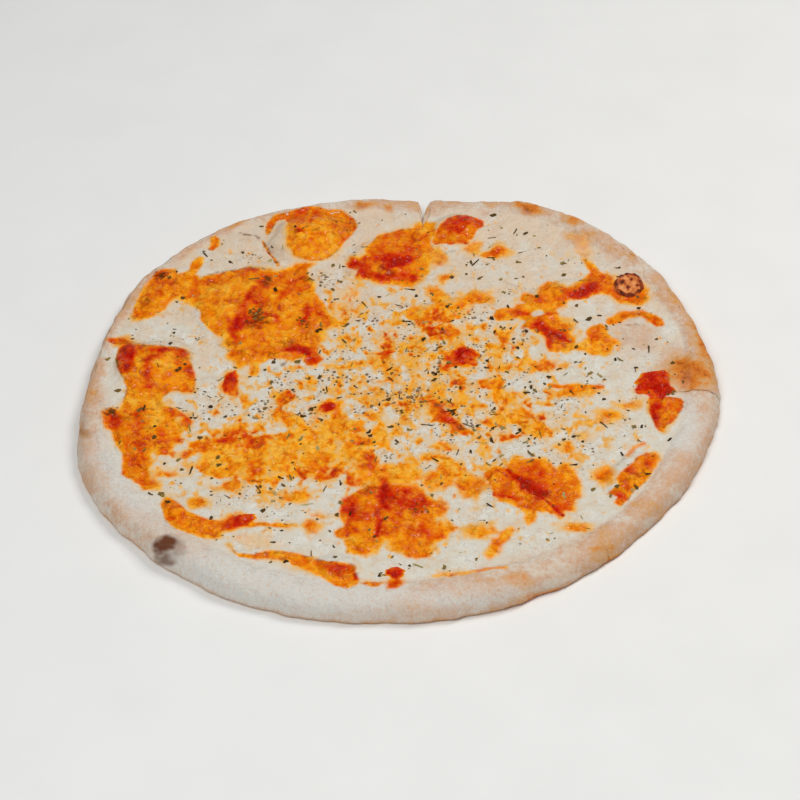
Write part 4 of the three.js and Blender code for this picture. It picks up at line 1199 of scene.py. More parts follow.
def topping_material(name, shine):
    """Cheese and sauce by the fields of a piece; shine is the roughness of the sauce."""
    material, tree, places = new_material(name)
    cover, ripe, halo, brown, rim, cream, herbs = [
        add(tree, "ShaderNodeAttribute", attribute_name=field, out="Fac")
        for field in ("sauce", "ripe", "halo", "brown", "rim", "cream", "herbs")]
    curd = add(tree, "ShaderNodeTexNoise", {"Vector": places, "Scale": per_mm(8), "Detail": 5})
    mottle = add(tree, "ShaderNodeTexNoise",
                 {"Vector": places, "Scale": per_mm(2.4), "Detail": 4, "Roughness": 0.6})
    folds = add(tree, "ShaderNodeTexNoise",
                {"Vector": places, "Scale": per_mm(4.6), "Detail": 1, "Distortion": 1.4})
    fleck = add(tree, "ShaderNodeTexNoise",
                {"Vector": places, "Scale": per_mm(2.6), "Detail": 2, "Distortion": 1.5})
    grain = add(tree, "ShaderNodeTexNoise", {"Vector": places, "Scale": per_mm(1.0), "Detail": 2})
    spread = add(tree, "ShaderNodeMapRange",
                 {"Value": mottle, "From Min": 0.3, "From Max": 0.7, "To Min": -0.1, "To Max": 0.1})
    grain = add(tree, "ShaderNodeMapRange",
                {"Value": grain, "From Min": 0.3, "From Max": 0.7, "To Min": -0.05, "To Max": 0.05})

    # fine folds in the sauce's skin: a painted shade line in the fold, a painted highlight line beside it
    creased = add(tree, "ShaderNodeMapRange", {"Value": curd, "From Min": 0.38, "From Max": 0.56})
    fold_shade_and_highlight = []
    for start, grey in ((0.42, "#B4B4B4"), (0.5, "#9C9C9C")):
        line = add(tree, "ShaderNodeValToRGB", {"Fac": folds},
                   [(start, "#000000"), (start + 0.08, "#000000"), (start + 0.04, grey)])
        line = add(tree, "ShaderNodeMath", {0: line, 1: creased}, operation="MULTIPLY")
        fold_shade_and_highlight.append(line)
    fold_hollow_shade, fold_ridge_highlight = fold_shade_and_highlight

    # the cheese: milky, creamy in places, soaked with oil, toasted where oregano lies, dough at its edge
    cheese = add(tree, "ShaderNodeValToRGB", {"Fac": curd},
                 [(0.3, "#D9CDB9"), (0.68, "#E5E5DE"), (0.5, "#DFDCD0")])
    soaked = add(tree, "ShaderNodeMath", {0: halo, 1: spread}, operation="ADD")
    faint = add(tree, "ShaderNodeMapRange", {"Value": soaked, "From Min": 0.1, "From Max": 0.6})
    strong = add(tree, "ShaderNodeMapRange", {"Value": soaked, "From Min": 0.5, "From Max": 1.1})
    strewn = add(tree, "ShaderNodeMath", {0: herbs, 1: 3.3}, operation="MULTIPLY", use_clamp=True)
    toast = add(tree, "ShaderNodeMapRange",
                {"Value": fleck, "From Min": 0.5, "From Max": 0.64, "To Max": 0.9})
    toast = add(tree, "ShaderNodeMath", {0: toast, 1: strewn}, operation="MULTIPLY")
    coats = ((cream, linear("#E3CBB0")), (faint, linear("#EDC488")), (strong, linear("#F3AA2C")),
             (toast, linear("#C08A48")), (rim, dough_colour(tree, places)))
    for amount, coat in coats:
        cheese = add(tree, "ShaderNodeMix", {0: amount, 6: cheese, 7: coat}, data_type="RGBA", out=2)

    # the sauce: a ramp from oil to ripe tomato, painted highlight flecks, darker flecks, and its folds'
    # painted shade and highlight
    tone = add(tree, "ShaderNodeMath", {0: ripe, 1: spread}, operation="ADD")
    tone = add(tree, "ShaderNodeMath", {0: tone, 1: grain}, operation="ADD")
    sauce = add(tree, "ShaderNodeValToRGB", {"Fac": tone},
                [(0.0, "#FFBE3E"), (1.0, "#B40402"), (0.2, "#FEA416"), (0.4, "#F28204"),
                 (0.6, "#E45602"), (0.8, "#D42802")])
    calm = add(tree, "ShaderNodeMapRange",
               {"Value": tone, "From Min": 0.55, "From Max": 0.9, "To Min": 1.0, "To Max": 0.3})
    # painted highlights: lighter flecks, faint where the sauce is reddest
    highlight_flecks = add(tree, "ShaderNodeMapRange",
                 {"Value": fleck, "From Min": 0.58, "From Max": 0.72, "To Max": 0.25})
    highlight_flecks = add(tree, "ShaderNodeMath", {0: highlight_flecks, 1: calm}, operation="MULTIPLY")
    deep = add(tree, "ShaderNodeMapRange",
               {"Value": fleck, "From Min": 0.42, "From Max": 0.28, "To Max": 0.4})
    # the painted highlight beside each fold, faint where the sauce is reddest
    painted_fold_highlight = add(tree, "ShaderNodeMath", {0: fold_ridge_highlight, 1: calm}, operation="MULTIPLY")
    # over the sauce: painted highlight flecks, darker flecks, painted shade in the folds and painted
    # highlights beside them
    for amount, coat in ((highlight_flecks, "#FFA83A"), (deep, "#AA3604"), (fold_hollow_shade, "#A03406"), (painted_fold_highlight, "#FFB250")):
        sauce = add(tree, "ShaderNodeMix", {0: amount, 6: sauce, 7: linear(coat)}, data_type="RGBA", out=2)

    # sauce over cheese, then what caught in the oven and the finest dust of oregano
    frayed = add(tree, "ShaderNodeMath", {0: spread, 1: 0.35, 2: cover}, operation="MULTIPLY_ADD")
    shown = add(tree, "ShaderNodeMapRange", {"Value": frayed, "From Min": 0.1, "From Max": 0.8})
    caught = add(tree, "ShaderNodeMath", {0: brown, 1: spread}, operation="ADD")
    caught = add(tree, "ShaderNodeMapRange", {"Value": caught, "From Min": 0.15, "From Max": 1.0})
    cells = add(tree, "ShaderNodeTexVoronoi", {"Vector": places, "Scale": per_mm(1.9)}, out=None)
    reach = add(tree, "ShaderNodeMath", {0: cells.outputs["Color"], 1: strewn}, operation="MULTIPLY")
    inside = add(tree, "ShaderNodeMath", {0: reach, 1: 1.25, 2: -0.1}, operation="MULTIPLY_ADD")
    inside = add(tree, "ShaderNodeMath", {0: inside, 1: cells.outputs["Distance"]}, operation="SUBTRACT")
    dust = add(tree, "ShaderNodeMapRange",
               {"Value": inside, "From Min": -0.06, "From Max": 0.06, "To Max": 0.8})
    colour = cheese
    for amount, coat in ((shown, sauce), (caught, linear("#64300C")), (dust, linear("#5E3C12"))):
        colour = add(tree, "ShaderNodeMix", {0: amount, 6: colour, 7: coat}, data_type="RGBA", out=2)

    # moist sauce shines, the thin film on the rim is dry, and beads of oil glint
    dry = add(tree, "ShaderNodeMath", {0: rim, 1: shown}, operation="SUBTRACT", use_clamp=True)
    matte = add(tree, "ShaderNodeMapRange", {"Value": dry, "To Min": 0.5, "To Max": 0.8})
    rough = add(tree, "ShaderNodeMapRange", {"Value": shown, "To Min": matte, "To Max": shine})
    fine = add(tree, "ShaderNodeTexNoise", {"Vector": places, "Scale": per_mm(1.2), "Detail": 4})
    # the same fold lines also raise and sink the bump under their painted highlight and shade
    for line, height in ((fold_ridge_highlight, 0.6), (fold_hollow_shade, -0.6)):
        fine = add(tree, "ShaderNodeMath", {0: line, 1: height, 2: fine}, operation="MULTIPLY_ADD")
    bump = add(tree, "ShaderNodeBump", {"Height": fine, "Strength": 0.8, "Distance": 0.0005})
    wet = add(tree, "ShaderNodeMapRange", {"Value": dry, "To Min": 1.0, "To Max": 0.1})
    beads = add(tree, "ShaderNodeMapRange",
                {"Value": mottle, "From Min": 0.57, "From Max": 0.65, "To Min": 0.05, "To Max": wet})
    skin = add(tree, "ShaderNodeBsdfPrincipled",
               {"Base Color": colour, "Roughness": rough, "Normal": bump, "IOR": 1.45,
                "Specular IOR Level": beads})
    add(tree, "ShaderNodeOutputMaterial", {"Surface": skin}, out=None)
    return material


mozzarella = topping_material("Melted mozzarella and tomato sauce", 0.16)
print("made", mozzarella.name)

# %% [markdown]
# ## Slices of topping
# Each slice of cheese with the sauce on it is one height field, closed below, that stands for its cheese
# solid and for the sauce solids on it. A grid of about half a millimetre is as fine as the picture shows.

# %% Eight slices of topping
SPACING = 0.58
SLICE_ROWS = 250
TIP = 1.2
DOUGH_LEVEL = 5.05
RIM_LAP = 0.64
FOOT_GAP = 0.6


def slice_of(node):
    """The number of the slice that a CAD node lies on."""
    points = corners_of(node)
    centre = (points.min(0) + points.max(0)) / 2
    angle = bearing(centre[0], centre[1])
    for number in SLICES:
        start = CUTS[number - 1][0]
        width = (CUTS[number % len(CUTS)][0] - start) % 360
        if (angle - start) % 360 < width:
            return number


def slice_rows(number):
    """Rows of points of one slice of topping, from the tip to the rim, and their stitched faces."""
    width, reach = slice_size(number)
    rows = []
    faces = []
    count = 0
    for step in np.linspace(0, 1, SLICE_ROWS):
        near = TIP + step * (reach - TIP)
        share = np.linspace(0, 1, max(2, int(width * near / SPACING) + 1))
        angle = between_cuts(number, np.full(share.shape, near), share)
        turn = np.degrees(angle)
        foot = at_angle(rim_foot, turn)
        edge = foot + RIM_LAP * (outer_at(turn) - foot)
        radius = TIP + step * (edge - TIP)
        rows.append(np.stack([radius * np.cos(angle), radius * np.sin(angle)], 1))
        numbers = np.arange(count, count + len(share))
        if count:
            faces.append(stitch(before, numbers))
        before = numbers
        count += len(share)
    return np.concatenate(rows), np.concatenate(faces)


HERB_CLUMPS = [
    (-67, 55, 6, 0.4), (-115, 91, 5, 0.4), (-134, -8, 4, 0.3), (-37, 84, 9, 0.22), (-72, 103, 7, 0.15),
    (-62, 84, 4, 0.3), (-45, 51, 5, 0.25), (-96, 45, 7, 0.12), (104, -60, 5, 0.12), (8, -80, 6, 0.2),
]


def herb_share(x, y, lies):
    """How thickly dried oregano lies at a place, from 0 to 1."""
    # little of it lies on the yellow field left of the front
    sparse = np.exp(-((x + 52) / 40) ** 2 - ((y + 40) / 20) ** 2)
    band = (0.14 + 0.5 * lies["zone"]) * (1 - 0.65 * sparse) * (1 - 0.7 * lies["sauce"])
    clumps = soft_step(-0.6, 0.8, waves(x, y, 16, 171, 2))
    share = 0.38 * band * (0.4 + 0.8 * clumps)
    for cx, cy, reach, strength in HERB_CLUMPS:
        share = np.maximum(share, strength * np.exp(-((x - cx) ** 2 + (y - cy) ** 2) / reach ** 2))
    return np.clip(share, 0, 1) * soft_step(0.02, -0.12, lies["across"])


def lay_under(edge):
    """The bottom edge of a slice: straight below it on the dough, and inside the rim's foot."""
    low = edge.copy()
    radius = np.hypot(low[:, 0], low[:, 1])
    foot = at_angle(rim_foot, bearing(low[:, 0], low[:, 1])) - FOOT_GAP
    low[:, :2] *= np.minimum(1, foot / radius)[:, None]
    low[:, 2] = DOUGH_LEVEL
    return low


herb_bed = {"points": [], "faces": [], "herbs": []}
TOPPING_FIELDS = ("sauce", "ripe", "halo", "brown", "bake", "flour", "char", "rim", "cream", "herbs")
stands_for = {number: [f"cheese_{number}"] for number in SLICES}
for node in sauce_nodes:
    stands_for[slice_of(node)].append(node)
for number in SLICES:
    plan, faces = slice_rows(number)
    height, lies = topping_at(plan[:, 0], plan[:, 1])
    height -= LAP_DIP * past_cut(number, plan[:, 0], plan[:, 1])
    points = np.column_stack([plan, height])
    lies["herbs"] = herb_share(plan[:, 0], plan[:, 1], lies)
    values = {key: lies[key] for key in TOPPING_FIELDS}
    piece = closed_piece(f"topping_{number}", points, faces, lay_under, values, mozzarella)
    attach(piece, "root")
    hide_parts(*stands_for[number])
    herb_bed["faces"].append(faces + sum(len(p) for p in herb_bed["points"]))
    herb_bed["points"].append(points)
    herb_bed["herbs"].append(lies["herbs"])
    print(piece.name, len(faces), "triangles, stands for", len(stands_for[number]), "solids")

# %% [markdown]
# ## Baked pizza dough
# The rim's skin is dry and matte, with a fine crust of flour and tiny blisters.

# %% The dough's material


def dough_material():
    """Dry, matte and finely blistered, in the colours of baked dough."""
    material, tree, places = new_material("Baked pizza dough")
    fine = add(tree, "ShaderNodeTexNoise",
               {"Vector": places, "Scale": per_mm(1.3), "Detail": 6, "Roughness": 0.65})
    bump = add(tree, "ShaderNodeBump", {"Height": fine, "Strength": 0.7, "Distance": 0.0005})
    skin = add(tree, "ShaderNodeBsdfPrincipled",
               {"Base Color": dough_colour(tree, places), "Roughness": 0.8, "Normal": bump, "IOR": 1.4,
                "Specular IOR Level": 0.2})
    add(tree, "ShaderNodeOutputMaterial", {"Surface": skin}, out=None)
    return material


dough = dough_material()
print("made", dough.name)

# %% [markdown]
# ## Slices of crust
# A slice of crust is the section swept from one cut to the next: flat under the topping, up over the
# rolled rim and back along the base. Lumps push the rim's skin out and in, and the section itself closes
# each end as a cut face.

# %% Eight slices of crust
COLUMN_SPACING = 0.7
FLOOR_ROWS = (1.5, 30, 60, 90, 112)
FLOOR_LEVEL = 5.0


def crust_slice(number):
    """Points, faces and fields of one slice of crust, swept from cut to cut."""
    width, reach = slice_size(number)
    share = np.linspace(0, 1, int(width * reach / COLUMN_SPACING))
    turn = np.degrees(between_cuts(number, np.full(share.shape, NEAR_RIM), share))
    outer = outer_at(turn)
    foot = at_angle(rim_foot, turn)
    tall = at_angle(rim_height, turn)
    level = np.ones(share.shape)
    rows = [(level * radius, level * FLOOR_LEVEL, 0.0) for radius in FLOOR_ROWS]
    for across, up in section:
        grow = float(soft_step(0.02, 0.2, up))
        rows.append((foot + across * (outer - foot), tall * up, grow))
    rows += [(level * radius, level * 0, 0.0) for radius in FLOOR_ROWS[::-1]]
    slopes = np.gradient(section, axis=0)
    points = []
    for index, (radius, z, grow) in enumerate(rows):
        angle = between_cuts(number, radius, share)
        x = radius * np.cos(angle)
        y = radius * np.sin(angle)
        k = index - len(FLOOR_ROWS)
        if grow and 0 <= k < len(section):
            da = slopes[k, 0] * (outer - foot)
            du = slopes[k, 1] * tall
            length = np.hypot(da, du)
            push = grow * (dough_lumps(x, y, z) - groove(x, y, True) - LAP_DIP * past_cut(number, x, y))
            radius = radius - push * du / length
            z = z + push * da / length
            angle = between_cuts(number, radius, share)
            x = radius * np.cos(angle)
            y = radius * np.sin(angle)
        points.append(np.stack([x, y, np.maximum(z, 0)], 1))
    points = np.concatenate(points)
    fields = baking_at(points[:, 0], drawn_at(points[:, 1], points[:, 2]), points[:, 2])
    del fields["bare"]
    numbers = np.arange(len(points)).reshape(len(rows), len(share))
    loop = np.concatenate([numbers, numbers[:1]])
    quads = np.stack([loop[:-1, :-1], loop[1:, :-1], loop[1:, 1:], loop[:-1, 1:]], -1)
    ends = [numbers[::-1, 0].tolist(), numbers[:, -1].tolist()]
    return points, ends + quads.reshape(-1, 4).tolist(), len(ends), fields


for number in SLICES:
    points, faces, flat_count, values = crust_slice(number)
    piece = new_piece(f"crust_slice_{number}", points, faces, flat_count, values, dough)
    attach(piece, "root")
    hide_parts(f"crust_{number}")
    print(piece.name, len(faces), "faces")

# %% [markdown]
# ## Bits of tomato
# Here and there a bit of cooked tomato lies on the cheese: wet, red and crumpled. Each is a small height
# field round the middle of its CAD solid, rising from just under the topping's surface.

# %% Tomato pieces
tomato_skin = topping_material("Cooked tomato", 0.26)
LUMP_ROWS = 26
LUMP_SPOKES = 6


def lump_rows(cx, cy, length, width, turn, start=0.0, stop=360.0, seed=0, uneven=0.2):
    """Rows of points from the middle of a lump to its uneven outline; stop below 360 leaves it cut."""
    whole = stop - start >= 360
    c, s = direction(turn)
    rows = [np.array([[cx, cy]])]
    numbers = [np.array([0])]
    faces = []
    count = 1
    for row in range(1, LUMP_ROWS + 1):
        steps = max(3, int(LUMP_SPOKES * row * (stop - start) / 360))
        angle = np.radians(np.linspace(start, stop, steps, endpoint=not whole))
        edge = waves(3 * np.cos(angle) + cx, 3 * np.sin(angle) + cy, 2.2, 181 + seed, 2)
        share = row / LUMP_ROWS * (1 + uneven * edge)
        along = share * np.cos(angle) * length / 2
        aside = share * np.sin(angle) * width / 2
        rows.append(np.stack([cx + along * c - aside * s, cy + along * s + aside * c], 1))
        here = np.arange(count, count + steps)
        numbers.append(np.append(here, here[0]) if whole else here)
        faces.append(stitch(numbers[-2], numbers[-1]))
        count += steps
    share = np.concatenate([np.full(len(r), i / LUMP_ROWS) for i, r in enumerate(rows)])
    return np.concatenate(rows), np.concatenate(faces), share


def sunk(depth):
    """A floor for a lump: its open edge set straight down by depth millimetres."""
    def floor_points(edge):
        low = edge.copy()
        low[:, 2] -= depth
        return low
    return floor_points


TOMATOES = [
    ("tomato_front_left", 18, 8, 24, 0, 360), ("tomato_front", 10, 8, 0, 0, 360),
    ("tomato_right", 19, 10, 22, 0, 360), ("tomato_middle_1", 13, 10, 41, 180, 360),
    ("tomato_middle_2", 13, 10, 41, 0, 180), ("tomato_left", 18, 8, 80, 0, 360),
    ("tomato_front_middle", 11, 8, 40, 0, 360),
]
CUT_TOMATO = 41
CUT_TOMATO_REACH = math.hypot(30, 26)
CUT_SIDES = {"tomato_middle_1": -0.15, "tomato_middle_2": 0.15}
TOMATO_SINK = 0.15
TOMATO_RIPE = 0.86
for seed, (name, length, width, turn, start, stop) in enumerate(TOMATOES):
    corners = corners_of(name)
    centre = (corners.min(0) + corners.max(0)) / 2
    if name in CUT_SIDES:
        # both halves of the tomato that was cut start from its middle, a hair to their side of the cut
        c, s = direction(CUT_TOMATO)
        side = CUT_SIDES[name]
        centre = np.array([CUT_TOMATO_REACH * c - side * s, CUT_TOMATO_REACH * s + side * c, 0])
    plan, faces, share = lump_rows(centre[0], centre[1], length, width, turn, start, stop, seed)
    ground, lies = topping_at(plan[:, 0], plan[:, 1])
    rise = corners[:, 2].max() - CHEESE_LEVEL
    crumple = 0.3 * waves(plan[:, 0], plan[:, 1], 3.5, 191 + seed, 3)
    dome = rise * 0.45 * (1 - share ** 3) * (1 + 0.5 * crumple) + crumple * (1 - share)
    points = np.column_stack([plan, ground + dome - TOMATO_SINK - 0.35 * share ** 6])
    blotches = 0.3 * waves(plan[:, 0], plan[:, 1], 5, 195, 2)
    red = np.clip(TOMATO_RIPE + blotches - 0.25 * share ** 3, 0, 1)
    red = lies["ripe"] + (red - lies["ripe"]) * soft_step(1.0, 0.6, share)
    fields = {"sauce": np.maximum(lies["sauce"], soft_step(1.05, 0.85, share)), "ripe": red,
              "halo": lies["halo"], "brown": lies["brown"] * 0.5}
    piece = closed_piece(f"{name}_bit", points, faces, sunk(0.8), fields, tomato_skin)
    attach(piece, "root")
    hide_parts(name)
print(len(TOMATOES), "bits of tomato")

# %% [markdown]
# ## The slice of sausage
# One round slice of sausage lies at the back right. Its cut face browned in the oven: a dark raised ring
# where the skin shrank, and a mottled, fatty middle with burnt spots.

# %% Sausage material and piece


def sausage_material():
    """Meat that browns and chars by the field char."""
    material, tree, places = new_material("Browned sausage")
    char = add(tree, "ShaderNodeAttribute", attribute_name="char", out="Fac")
    meat = add(tree, "ShaderNodeTexNoise", {"Vector": places, "Scale": per_mm(2.2), "Detail": 4})
    spread = add(tree, "ShaderNodeMapRange",
                 {"Value": meat, "From Min": 0.3, "From Max": 0.7, "To Min": -0.25, "To Max": 0.25})
    tone = add(tree, "ShaderNodeMath", {0: char, 1: spread}, operation="ADD")
    colour = add(tree, "ShaderNodeValToRGB", {"Fac": tone},
                 [(0.0, "#F0AA6C"), (1.0, "#48190C"), (0.3, "#DE8444"), (0.6, "#9C4218")])
    fine = add(tree, "ShaderNodeTexNoise", {"Vector": places, "Scale": per_mm(0.8), "Detail": 3})
    bump = add(tree, "ShaderNodeBump", {"Height": fine, "Strength": 0.4, "Distance": 0.0003})
    skin = add(tree, "ShaderNodeBsdfPrincipled",
               {"Base Color": colour, "Roughness": 0.4, "Normal": bump, "IOR": 1.45,
                "Specular IOR Level": 0.2})
    add(tree, "ShaderNodeOutputMaterial", {"Surface": skin}, out=None)
    return material


SAUSAGE_SHIFT = (0.6, 1.5)
SAUSAGE_SIZE = (14.6, 16.0)
SAUSAGE_THICK = 1.7
SAUSAGE_LEAN = 0.17
BURNT_SPOTS = ((-3.0, 1.6, 1.2), (1.2, 3.4, 0.9), (-0.6, -1.8, 1.1), (3.8, -0.6, 0.8))
corners = corners_of("sausage_slice")
cx, cy = (corners.min(0) + corners.max(0))[:2] / 2 + SAUSAGE_SHIFT
plan, faces, share = lump_rows(cx, cy, *SAUSAGE_SIZE, 0, seed=9, uneven=0.07)
ground = topping_at(plan[:, 0], plan[:, 1])[0].mean()
rough_skin = waves(plan[:, 0], plan[:, 1], 3.2, 201, 3)
upper = soft_step(-0.5, 0.5, (plan[:, 1] - cy) / 6.7)
dots = soft_step(-0.4, 0.2, waves(plan[:, 0], plan[:, 1], 2.4, 203))
ring = np.exp(-((share - 0.84) / 0.13) ** 2) * (0.3 + 0.7 * dots) * (0.75 + 0.25 * upper)
holes = np.zeros(share.shape)
for hx, hy, reach in BURNT_SPOTS:
    apart = np.hypot(plan[:, 0] - cx - hx, plan[:, 1] - cy - hy) + 0.9 * rough_skin
    holes = np.maximum(holes, soft_step(1.5, 0.4, apart / reach))
top = ground + SAUSAGE_THICK + SAUSAGE_LEAN * (plan[:, 1] - cy) + 0.4 * ring + 0.3 * rough_skin
top = top - 0.5 * holes - 1.6 * soft_step(0.88, 1.0, share)
char = np.clip(0.32 + 0.75 * ring + 0.6 * holes + 0.25 * rough_skin, 0, 1)
points = np.column_stack([plan, top])
piece = closed_piece("sausage_round", points, faces, sunk(1.5), {"char": char}, sausage_material())
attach(piece, "root")
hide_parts("sausage_slice")
print("sausage slice of", len(faces), "triangles")

# %% [markdown]
# ## Dried oregano
# Crumbled dried oregano is strewn by hand, thickest across the middle: curled bits of leaf and a few
# stalks, one to three millimetres long, dark olive to brown. Hundreds of bits are a job for Geometry
# Nodes: points are scattered on the topping where its herb field is high, a bit is set on each with its
# own turn, tilt and size, and the lot is realized as one mesh.

# %% Oregano bits
random = np.random.default_rng(7)
LEAF_CORNERS = 6
LEAF_SIZES = ((2.8, 1.7, 0.3), (3.0, 1.3, 0.3), (1.9, 1.2, 0.15),
              (3.6, 0.7, 0.2), (2.4, 1.5, -0.25), (1.3, 0.9, 0.1))
LEAF_THICK = 0.12
LEAF_SUNK = 0.1
herb_bits = bpy.data.collections.new("herb bits")


def leaf_bit(name, length, width, curl):
    """A closed, curled bit of leaf with an uneven outline, its middle at the origin."""
    angles = np.radians(np.arange(0, 360, 360 // LEAF_CORNERS) + random.uniform(-20, 20, LEAF_CORNERS))
    reach = random.uniform(0.5, 1.15, LEAF_CORNERS)
    x = 0.5 * length * reach * np.cos(angles)
    y = 0.5 * width * reach * np.sin(angles)
    bend = curl * ((x / length) ** 2 * 4 - 0.4)
    upper = np.stack([x, y, bend + LEAF_THICK], 1)
    lower = np.stack([x * 0.9, y * 0.9, bend - LEAF_SUNK], 1)
    middles = np.array([[0, 0, LEAF_THICK * 1.3 - 0.4 * curl], [0, 0, -LEAF_SUNK - 0.4 * curl]])
    points = np.concatenate([upper, lower, middles]) / 1000
    top = 2 * LEAF_CORNERS
    faces = []
    for k in range(LEAF_CORNERS):
        n = (k + 1) % LEAF_CORNERS
        faces.append((k, n, top))
        faces.append((LEAF_CORNERS + n, LEAF_CORNERS + k, top + 1))
        faces.append((k, LEAF_CORNERS + k, LEAF_CORNERS + n, n))
    mesh = bpy.data.meshes.new(name)
    mesh.from_pydata(points.tolist(), [], faces)
    herb_bits.objects.link(bpy.data.objects.new(name, mesh))


for number, sizes in enumerate(LEAF_SIZES):
    leaf_bit(f"herb_bit_{number}", *sizes)

# %% The oregano's material


def oregano_material():
    """Dull leaf, from dark brown to pale olive by each bit's own tone."""
    material, tree = new_material("Dried oregano")[:2]
    tone = add(tree, "ShaderNodeAttribute", attribute_name="tone", out="Fac")
    colour = add(tree, "ShaderNodeValToRGB", {"Fac": tone},
                 [(0.0, "#32240E"), (1.0, "#B0A270"), (0.3, "#54401C"), (0.6, "#745E2C"),
                  (0.85, "#8E7C44")])
    leaf = add(tree, "ShaderNodeBsdfPrincipled",
               {"Base Color": colour, "Roughness": 0.8, "Specular IOR Level": 0.1})
    add(tree, "ShaderNodeOutputMaterial", {"Surface": leaf}, out=None)
    return material


oregano_skin = oregano_material()
print("made", oregano_skin.name)

# %% The scatter tree
SCATTER = (("Bits per square metre", "NodeSocketFloat", 300000.0),
           ("Least spacing", "NodeSocketFloat", 0.0008),
           ("Smallest size", "NodeSocketFloat", 0.55),
           ("Largest size", "NodeSocketFloat", 1.9),
           ("Seed", "NodeSocketInt", 12))
TILT = 0.3
HALF_TURN = 3.14


def scatter_tree(material):
    """Strews the herb bits over a surface by its herbs attribute; returns the tree and its inputs."""
    tree = bpy.data.node_groups.new("Strewn oregano", "GeometryNodeTree")
    tree.interface.new_socket("Geometry", in_out="INPUT", socket_type="NodeSocketGeometry")
    sockets = {}
    for label, kind, value in SCATTER:
        sockets[label] = tree.interface.new_socket(label, in_out="INPUT", socket_type=kind).identifier
    tree.interface.new_socket("Geometry", in_out="OUTPUT", socket_type="NodeSocketGeometry")
    given = add(tree, "NodeGroupInput", out=None).outputs
    herbs = add(tree, "GeometryNodeInputNamedAttribute",
                {"Name": "herbs"}, data_type="FLOAT", out="Attribute")
    strewn = add(tree, "GeometryNodeDistributePointsOnFaces",
                 {"Mesh": given["Geometry"], "Distance Min": given["Least spacing"],
                  "Density Max": given["Bits per square metre"], "Density Factor": herbs,
                  "Seed": given["Seed"]}, distribute_method="POISSON", out=None)
    bits = add(tree, "GeometryNodeCollectionInfo", {"Collection": herb_bits, "Separate Children": True})
    size = add(tree, "FunctionNodeRandomValue",
               {2: given["Smallest size"], 3: given["Largest size"], "Seed": 3}, data_type="FLOAT", out=1)
    turn = add(tree, "FunctionNodeRandomValue",
               {0: (-TILT, -TILT, -HALF_TURN), 1: (TILT, TILT, HALF_TURN), "Seed": 4},
               data_type="FLOAT_VECTOR")
    turn = add(tree, "FunctionNodeEulerToRotation", {0: turn})
    turned = add(tree, "FunctionNodeRotateRotation",
                 {"Rotation": strewn.outputs["Rotation"], "Rotate By": turn}, rotation_space="LOCAL")
    placed = add(tree, "GeometryNodeInstanceOnPoints",
                 {"Points": strewn.outputs["Points"], "Instance": bits, "Pick Instance": True,
                  "Rotation": turned, "Scale": size})
    tone = add(tree, "FunctionNodeRandomValue", {2: 0.0, 3: 1.0, "Seed": 5}, data_type="FLOAT", out=1)
    toned = add(tree, "GeometryNodeStoreNamedAttribute",
                {"Geometry": placed, "Name": "tone", "Value": tone}, data_type="FLOAT", domain="INSTANCE")
    real = add(tree, "GeometryNodeRealizeInstances", {"Geometry": toned})
    painted = add(tree, "GeometryNodeSetMaterial", {"Geometry": real, "Material": material})
    add(tree, "NodeGroupOutput", {"Geometry": painted}, out=None)
    return tree, sockets


tree, sockets = scatter_tree(oregano_skin)
print("scatter tree with", len(sockets), "inputs")

# %% Strewing it
bed_points = np.concatenate(herb_bed["points"])
bed_faces = np.concatenate(herb_bed["faces"]).tolist()
bed_herbs = np.concatenate(herb_bed["herbs"])
bed = new_piece("oregano_bed", bed_points, bed_faces, 0, {"herbs": bed_herbs}, oregano_skin)
scatter = bed.modifiers.new("Strewn oregano", "NODES")
scatter.node_group = tree
for label, kind, value in SCATTER:
    scatter[sockets[label]] = value
shown = bed.evaluated_get(bpy.context.evaluated_depsgraph_get())
strewn_mesh = bpy.data.meshes.new_from_object(shown)
oregano = bpy.data.objects.new("oregano", strewn_mesh)
bpy.context.scene.collection.objects.link(oregano)
bed.modifiers.remove(scatter)
bpy.data.objects.remove(bed)
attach(oregano, "root")
print("oregano:", len(strewn_mesh.polygons) // (3 * LEAF_CORNERS), "bits")

# %% [markdown]
# ## Floor, light and camera
# The pizza lies on a plain pale floor under soft light from large lamps, as in a bright kitchen. The
# camera looks down at the angle that the places were drawn from, turned a little on its axis.

# %% Floor
FLOOR = 3
FLOOR_DROP = 0.0002
floor_mesh = bpy.data.meshes.new("floor")
floor_corners = [(-FLOOR, -FLOOR, 0), (FLOOR, -FLOOR, 0), (FLOOR, FLOOR, 0), (-FLOOR, FLOOR, 0)]
floor_mesh.from_pydata(floor_corners, [], [(0, 1, 2, 3)])
floor = bpy.data.objects.new("floor", floor_mesh)
bpy.context.scene.collection.objects.link(floor)
floor.location.z = -FLOOR_DROP
floor_material, tree, places = new_material("Pale matte board")
grain = add(tree, "ShaderNodeTexNoise", {"Vector": places, "Scale": per_mm(40), "Detail": 3})
board = add(tree, "ShaderNodeValToRGB", {"Fac": grain}, [(0.3, "#F0F3F4"), (0.7, "#F3F6F7")])
matte = add(tree, "ShaderNodeBsdfPrincipled", {"Base Color": board, "Roughness": 0.75})
add(tree, "ShaderNodeOutputMaterial", {"Surface": matte}, out=None)
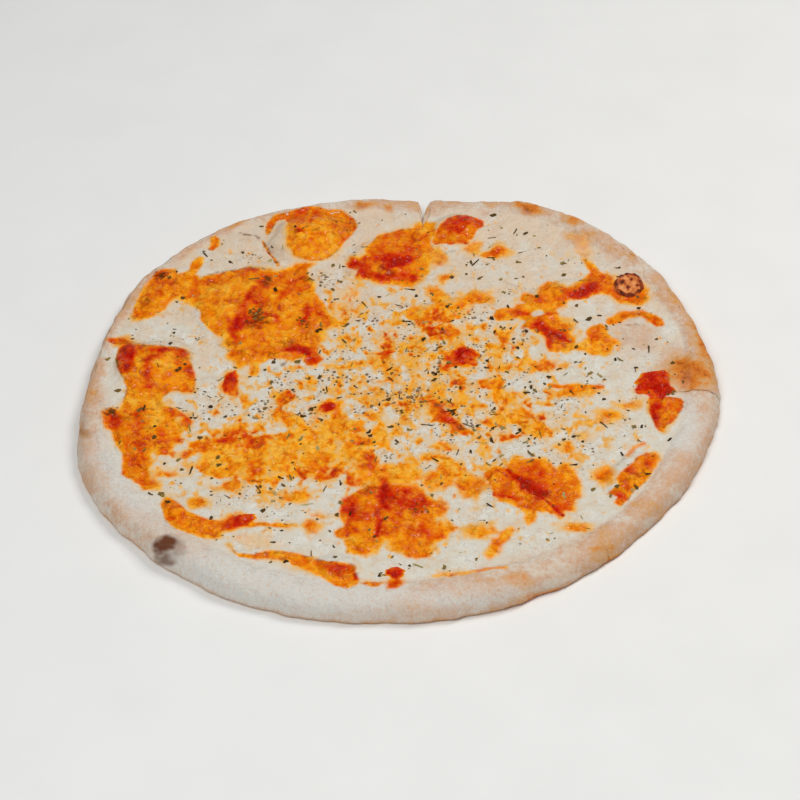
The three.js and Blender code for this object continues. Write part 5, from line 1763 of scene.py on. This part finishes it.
floor_mesh.materials.append(floor_material)
floor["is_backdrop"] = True
print("floor of", 2 * FLOOR, "m")

# %% Lamps
world = bpy.data.worlds.new("Soft room")
bpy.context.scene.world = world
world.use_nodes = True
sky = world.node_tree.nodes["Background"].inputs
sky["Color"].default_value = linear("#F4F8FF")
sky["Strength"].default_value = 0.2


def lamp(name, place, size, watts, colour):
    """A large soft lamp that faces the pizza."""
    light = bpy.data.lights.new(name, "AREA")
    light.size = size
    light.energy = watts
    light.color = linear(colour)[:3]
    holder = bpy.data.objects.new(name, light)
    holder.location = place
    holder.rotation_euler = Vector(place).to_track_quat("Z", "Y").to_euler()
    bpy.context.scene.collection.objects.link(holder)


lamp("window", (-0.4, -0.8, 1.5), 1.0, 15, "#FFFBF5")
lamp("room", (0.75, 0.4, 1.2), 0.6, 9.5, "#FFF8F0")
bpy.context.scene.view_settings.view_transform = "Standard"
print(len(bpy.data.lights), "lamps")

# %% Camera
VIEW_DISTANCE = 1.5
VIEW_ROLL = math.radians(-1.63)
AIM_HEIGHT = 0.004
aim = Vector((middle[0] / 1000, middle[1] / 1000, AIM_HEIGHT))
camera_data = bpy.data.cameras.new("camera")
camera_data.sensor_width = 36
camera_data.sensor_fit = "HORIZONTAL"
camera_data.lens = 144.45
camera = bpy.data.objects.new("camera", camera_data)
bpy.context.scene.collection.objects.link(camera)
elevation = math.radians(VIEW_DEGREES)
back = Vector((0, -math.cos(elevation), math.sin(elevation)))
tilt = Matrix.Rotation(math.pi / 2 - elevation, 4, "X") @ Matrix.Rotation(VIEW_ROLL, 4, "Z")
camera.matrix_world = Matrix.Translation(aim + back * VIEW_DISTANCE) @ tilt
bpy.context.scene.camera = camera
print("camera at", [round(c, 3) for c in camera.location])

# %% [markdown]
# ## Sizes
# The CAD model's box and the dressed pizza's box are kept side by side, and the dressed one is printed in
# millimetres. The dressed pizza has to stay close to the CAD model's box.

# %% Sizes
visual_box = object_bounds()
sizes = {"cad": [list(corner) for corner in cad_box], "visual": [list(corner) for corner in visual_box]}
print("visual box in mm", in_mm(visual_box))
